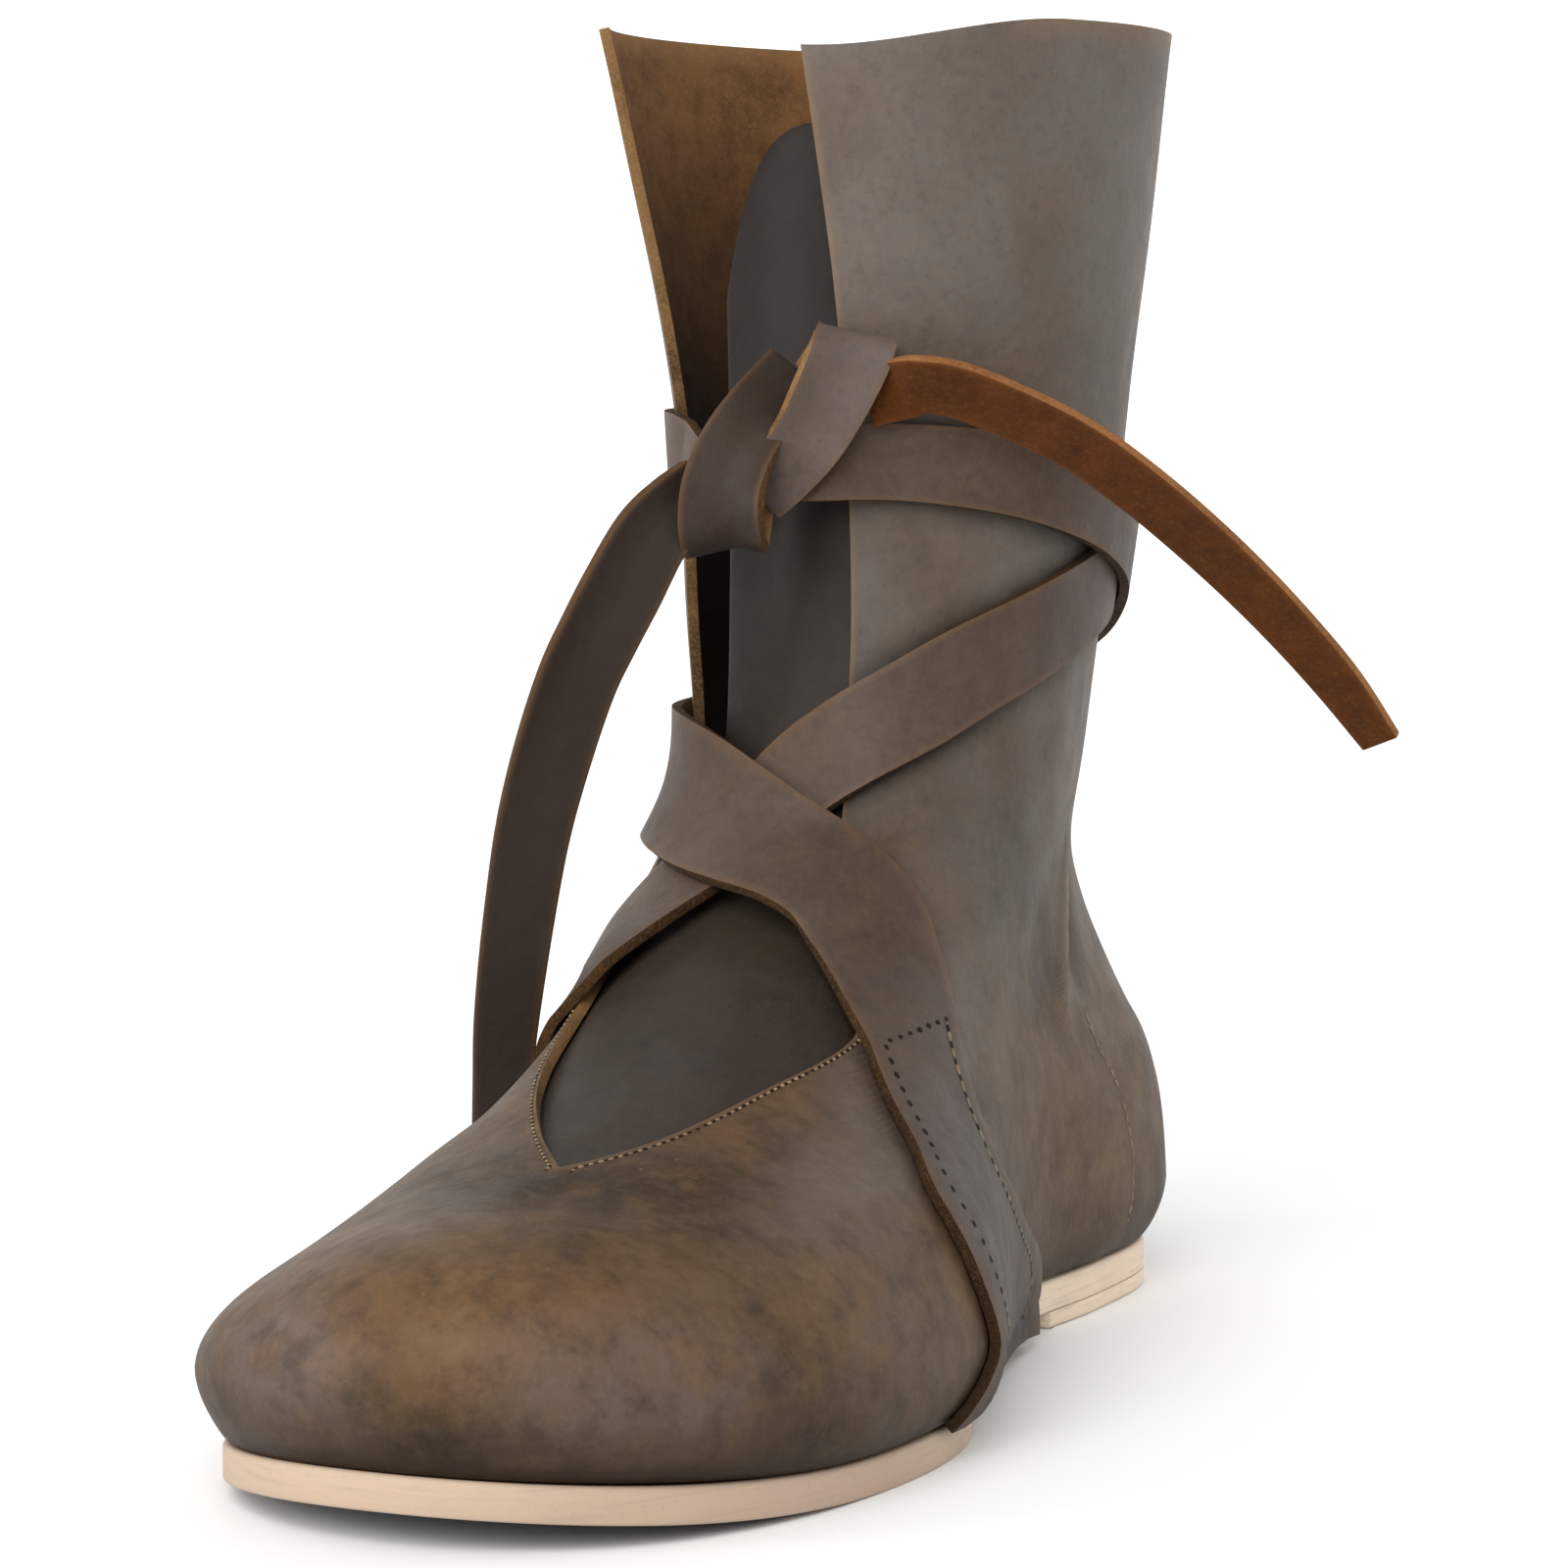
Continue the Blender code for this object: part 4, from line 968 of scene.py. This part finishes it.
def make_seam(name, line, sewing, materials):
    """A row of sewing along a line of places: pricked holes and the thread that dips between them."""
    pitch, hole_half, thread_half = sewing
    line = np.array(line)
    points, _ = laid(line)
    reach = np.concatenate([[0.0], np.cumsum(np.linalg.norm(np.diff(points, axis=0), axis=1))])
    marks = np.arange(pitch / 2, reach[-1] + pitch, pitch)
    places = np.stack([np.interp(marks, reach, line[:, k]) for k in range(4)], axis=1)
    points, ways = laid(places)
    chance = random.Random(len(marks))
    corners, faces, looks = [], [], []
    for point, way, after in zip(points, ways, points[1:]):
        run = after - point
        long = max(np.linalg.norm(run), 0.5 * pitch)
        run = run / np.linalg.norm(run)
        side = np.cross(way, run)
        size = hole_half * chance.uniform(*HOLE_SPREAD)
        first = len(corners)
        for k in range(HOLE_SIDES):
            angle = 2 * math.pi * k / HOLE_SIDES
            rim = run * math.cos(angle) * size * HOLE_LONG + side * math.sin(angle) * size
            corners.append(point + rim + way * HOLE_RAISE)
        faces.append(list(range(first, first + HOLE_SIDES)))
        looks.append(0)
        wide = thread_half * chance.uniform(*THREAD_SPREAD)
        bare = max(HOLE_LONG * size, STITCH_BARE * pitch)
        if not thread_half or chance.random() < LOST_STITCH:
            continue
        rows = []
        for k in range(THREAD_STEPS + 1):
            bow = math.sin(math.pi * (BOW_START + BOW_SPAN * k / THREAD_STEPS)) ** 0.5
            middle = point + run * mix(bare, long - bare, k / THREAD_STEPS)
            rows.append(list(range(len(corners), len(corners) + THREAD_SIDES + 1)))
            for j in range(THREAD_SIDES + 1):
                angle = math.pi * j / THREAD_SIDES
                rise = math.sin(angle) * wide * THREAD_FLAT * bow + THREAD_RAISE
                corners.append(middle + (side * math.cos(angle) * wide * bow + way * rise))
        strip = quads(rows)
        faces += strip
        looks += [1] * len(strip)
    piece = add_piece(name, corners, faces, materials)
    piece.data.polygons.foreach_set("material_index", looks)


def sole_line(front_y, inset, steps=150):
    """Outline of the sole from front_y round the heel and back, set in by inset."""
    toe, heel = TOE_Y + inset, HEEL_Y - inset
    first = math.acos(1 - 2 * max(0.0, front_y - toe) / (heel - toe)) / math.pi
    line = []
    for side in (1, -1):
        half = []
        for k in range(steps + 1):
            turn = mix(first, 1.0, k / steps)
            width = sole_half_width(side * turn) - inset * math.sin(math.pi * turn)
            half.append((side * max(0.0, width), mix(toe, heel, along(turn))))
        line += half if side == 1 else half[::-1]
    return [point for point, before in zip(line, line[-1:] + line) if math.dist(point, before) > 0.01]


def make_slab(name, line, floor, thickness, materials, low_round=0.8, high_round=0.8):
    """A slab of sole leather to an outline, with rounded edges; floor gives its underside along the boot."""
    flat = np.array(line)
    ahead = np.roll(flat, -1, axis=0) - np.roll(flat, 1, axis=0)
    ahead /= np.maximum(np.linalg.norm(ahead, axis=1), 1e-6)[:, None]
    inwards = np.stack([-ahead[:, 1], ahead[:, 0]], axis=1)
    profile = [
        (SLAB_FACE, 0.0), (low_round, 0.0), (0.3 * low_round, 0.3 * low_round), (0.0, low_round),
        (0.0, thickness / 2), (0.0, thickness - high_round),
        (0.3 * high_round, thickness - 0.3 * high_round), (high_round, thickness), (SLAB_FACE, thickness),
    ]
    points, rise, rings = [], [], []
    for inset, height in profile:
        ring = flat + inwards * inset
        rings.append(list(range(len(points), len(points) + len(ring))))
        points += [(x, y, floor(y) + height) for x, y in ring]
        rise += [height / thickness] * len(ring)
    faces = quads([ring + ring[:1] for ring in rings])
    for ring, down in ((rings[0], True), (rings[-1], False)):
        half = len(ring) // 2
        for face in quads([ring[:half], ring[half:][::-1]]):
            faces.append(face if down else face[::-1])
    piece = add_piece(name, points, faces, materials, name)
    paint(piece, "rise", rise)
    # darker towards the toe
    paint(piece, "toe_darkening", np.clip((TOE_DARK_Y - np.array(points)[:, 1]) / TOE_DARK_SPAN, 0, 1))


def make_light(name, place, aim, size, power):
    data = bpy.data.lights.new(name, "AREA")
    data.shape = "RECTANGLE"
    data.size, data.size_y = size
    data.energy = power
    lamp = bpy.data.objects.new(name, data)
    lamp.location = place
    lamp.rotation_euler = (Vector(aim) - Vector(place)).to_track_quat("-Z", "Y").to_euler()
    bpy.context.scene.collection.objects.link(lamp)


def make_studio():
    """A sweep of white paper under one big soft light from the front, a little to the left."""
    made, _, shader = start_material("white paper sweep")
    shader.inputs["Base Color"].default_value = linear("#f7f7f6")
    shader.inputs["Roughness"].default_value = 0.9
    bend = [(SWEEP_Y + math.sin(a), 1 - math.cos(a)) for a in np.linspace(0, math.pi / 2, 25)]
    profile = [(-FLOOR_REACH, 0.0)] + bend + [(SWEEP_Y + 1, SWEEP_TOP)]
    points = [(x, y, z) for y, z in profile for x in (-FLOOR_REACH, FLOOR_REACH)]
    mesh = bpy.data.meshes.new("floor")
    mesh.from_pydata(points, [], [(k, k + 1, k + 3, k + 2) for k in range(0, len(points) - 2, 2)])
    mesh.shade_smooth()
    mesh.materials.append(made)
    floor = bpy.data.objects.new("floor", mesh)
    bpy.context.scene.collection.objects.link(floor)
    world = bpy.data.worlds.new("studio")
    world.use_nodes = True
    sky = world.node_tree.nodes["Background"]
    sky.inputs["Color"].default_value = (1.0, 1.0, 1.0, 1.0)
    sky.inputs["Strength"].default_value = SKY_POWER
    bpy.context.scene.world = world
    bpy.context.scene.view_settings.view_transform = "Standard"
    data = bpy.data.lights.new("big soft light", "SUN")
    data.energy = SUN_POWER
    data.angle = math.radians(SUN_ANGLE)
    lamp = bpy.data.objects.new("big soft light", data)
    lamp.rotation_euler = Vector(SUN_WAY).to_track_quat("-Z", "Y").to_euler()
    bpy.context.scene.collection.objects.link(lamp)
    make_light("left box", BOX_AT, BOX_AIM, BOX_SIZE, BOX_POWER)


make_camera()

grain = pull_up_leather(
    "oiled pull-up leather", shift=0.0, cool="#5c5550", warm="#49341f", olive="#654b2d", bloom_and_sheen="#63544e",
    dark="#231911", pale="#75644f", tan="#7d613d",
)
strap_grain = pull_up_leather(
    "strap pull-up leather", shift=1.7, cool="#4a3f3a", warm="#453323", olive="#5b432b", bloom_and_sheen="#635752",
    dark="#1f150e", pale="#66543f", tan="#6f5233",
)
# a darker copy of the grain: painted shade on the tongue
shaded_tongue_grain = pull_up_leather(
    "shaded pull-up leather", shift=0.8, cool="#3a332e", warm="#372c22", olive="#433526", bloom_and_sheen="#3f3a38",
    dark="#17100b", pale="#4a4036", tan="#4f3c28",
)
flesh = flesh_suede("brown flesh side", "#7c5837", "#523a24", "#9c7850", "#845a30")
red_flesh = flesh_suede("red-brown flesh side", "#532c0e", "#361c09", "#7c4d25", "#5c300e")
edge = cut_edge("raw cut edge", "#7f5f3a", "#4a321c", "#a88358")
dark_edge = cut_edge("waxed cut edge", "#38250f", "#20140a", "#7a5730")
red_edge = cut_edge("fresh cut edge", "#8a5a30", "#6e4322", "#b2804e")
sole_edge = sole_leather("natural sole leather", "#ebd9c3", "#dfc7ac", "#b49d88", "#8f8478")
insole_top = sole_leather("insole leather", "#a9825c", "#8f6a46", "#7d5c3c", "#8f6a46")
# near-black discs that stand for the painted shade inside the pricked holes
hole = cut_edge("pricked hole", "#150d08", "#0f0905", "#22160e")
thread = sewing_thread("waxed linen thread", "#97805f", "#6b5640")
dull_thread = sewing_thread("worn linen thread", "#8b7c67", "#6e5f4b")
dark_thread = sewing_thread("darkened thread", "#453527", "#2f241a")
# outer side, cut edge and inner side of each kind of sheet
grain_out, flesh_out = (grain, edge, flesh), (red_flesh, red_edge, strap_grain)
strap_out, knot_out = (strap_grain, dark_edge, flesh), (strap_grain, edge, flesh)

# the knot band is darkened with painted shade
knot, _ = make_ribbon("knot", KNOT_BAND, knot_out, 60, joint_line_and_shade=0.65)
# the loop is lightened with a painted sheen
loop, _ = make_ribbon("strap_loop", STRAP_LOOP, knot_out, 60, painted_sheen=0.8)
outer_end, outer_line = make_ribbon("strap_end_outer", STRAP_END_OUTER, flesh_out, 90)
# the inner end is darkened with painted shade
inner_end, inner_line = make_ribbon("strap_end_inner", STRAP_END_INNER, knot_out, 90, joint_line_and_shade=0.85)

make_slab(
    "outsole", sole_line(TOE_Y, 0.0), lambda y: sole_bottom(y) + toe_rise(y), SOLE_THICK, [sole_edge],
    low_round=0.3,
)
make_slab(
    "heel_lift", sole_line(LIFT_FRONT_Y, 0.0), lambda y: 0.0, LIFT_THICK + LIFT_CLOSE, [sole_edge],
    high_round=0.1,
)
make_slab(
    "insole", sole_line(TOE_Y, INSOLE_INSET), lambda y: sole_bottom(y) + toe_rise(y) + SOLE_THICK + SEAM_GAP,
    INSOLE_THICK, [insole_top],
)
strap_points = [
    make_strap("strap_lateral", FOOT_LATERAL, STRAP_LATERAL, strap_out),
    make_strap("strap_medial", FOOT_MEDIAL, STRAP_MEDIAL, strap_out),
]
make_upper(grain_out, np.concatenate(strap_points))
make_tongue((shaded_tongue_grain, dark_edge, flesh))
for name, low_edge, side, top in (("lateral", "outer", 1, 5.3), ("medial", "inner", -1, 5.9)):
    throat = throat_row(low_edge, side, THROAT_LOW, top, THROAT_INSET)
    make_seam("throat_seam_" + name, throat, THROAT_SEWING, (hole, thread))
    counter = counter_row(side)
    # the holes of the heel seam take the darkened thread colour, as painted shade
    make_seam("counter_seam_" + name, counter, COUNTER_SEWING, (dark_thread, dull_thread))
for name, foot in (("lateral", FOOT_LATERAL), ("medial", FOOT_MEDIAL)):
    for sewn in FOOT_ROWS:
        make_seam(
            "strap_seam_" + sewn.part + "_" + name, foot_row(foot, sewn),
            Sewing(FOOT_PITCH, FOOT_HOLE, sewn.thread), (hole, thread if sewn.thread else dark_thread),
        )
make_studio()
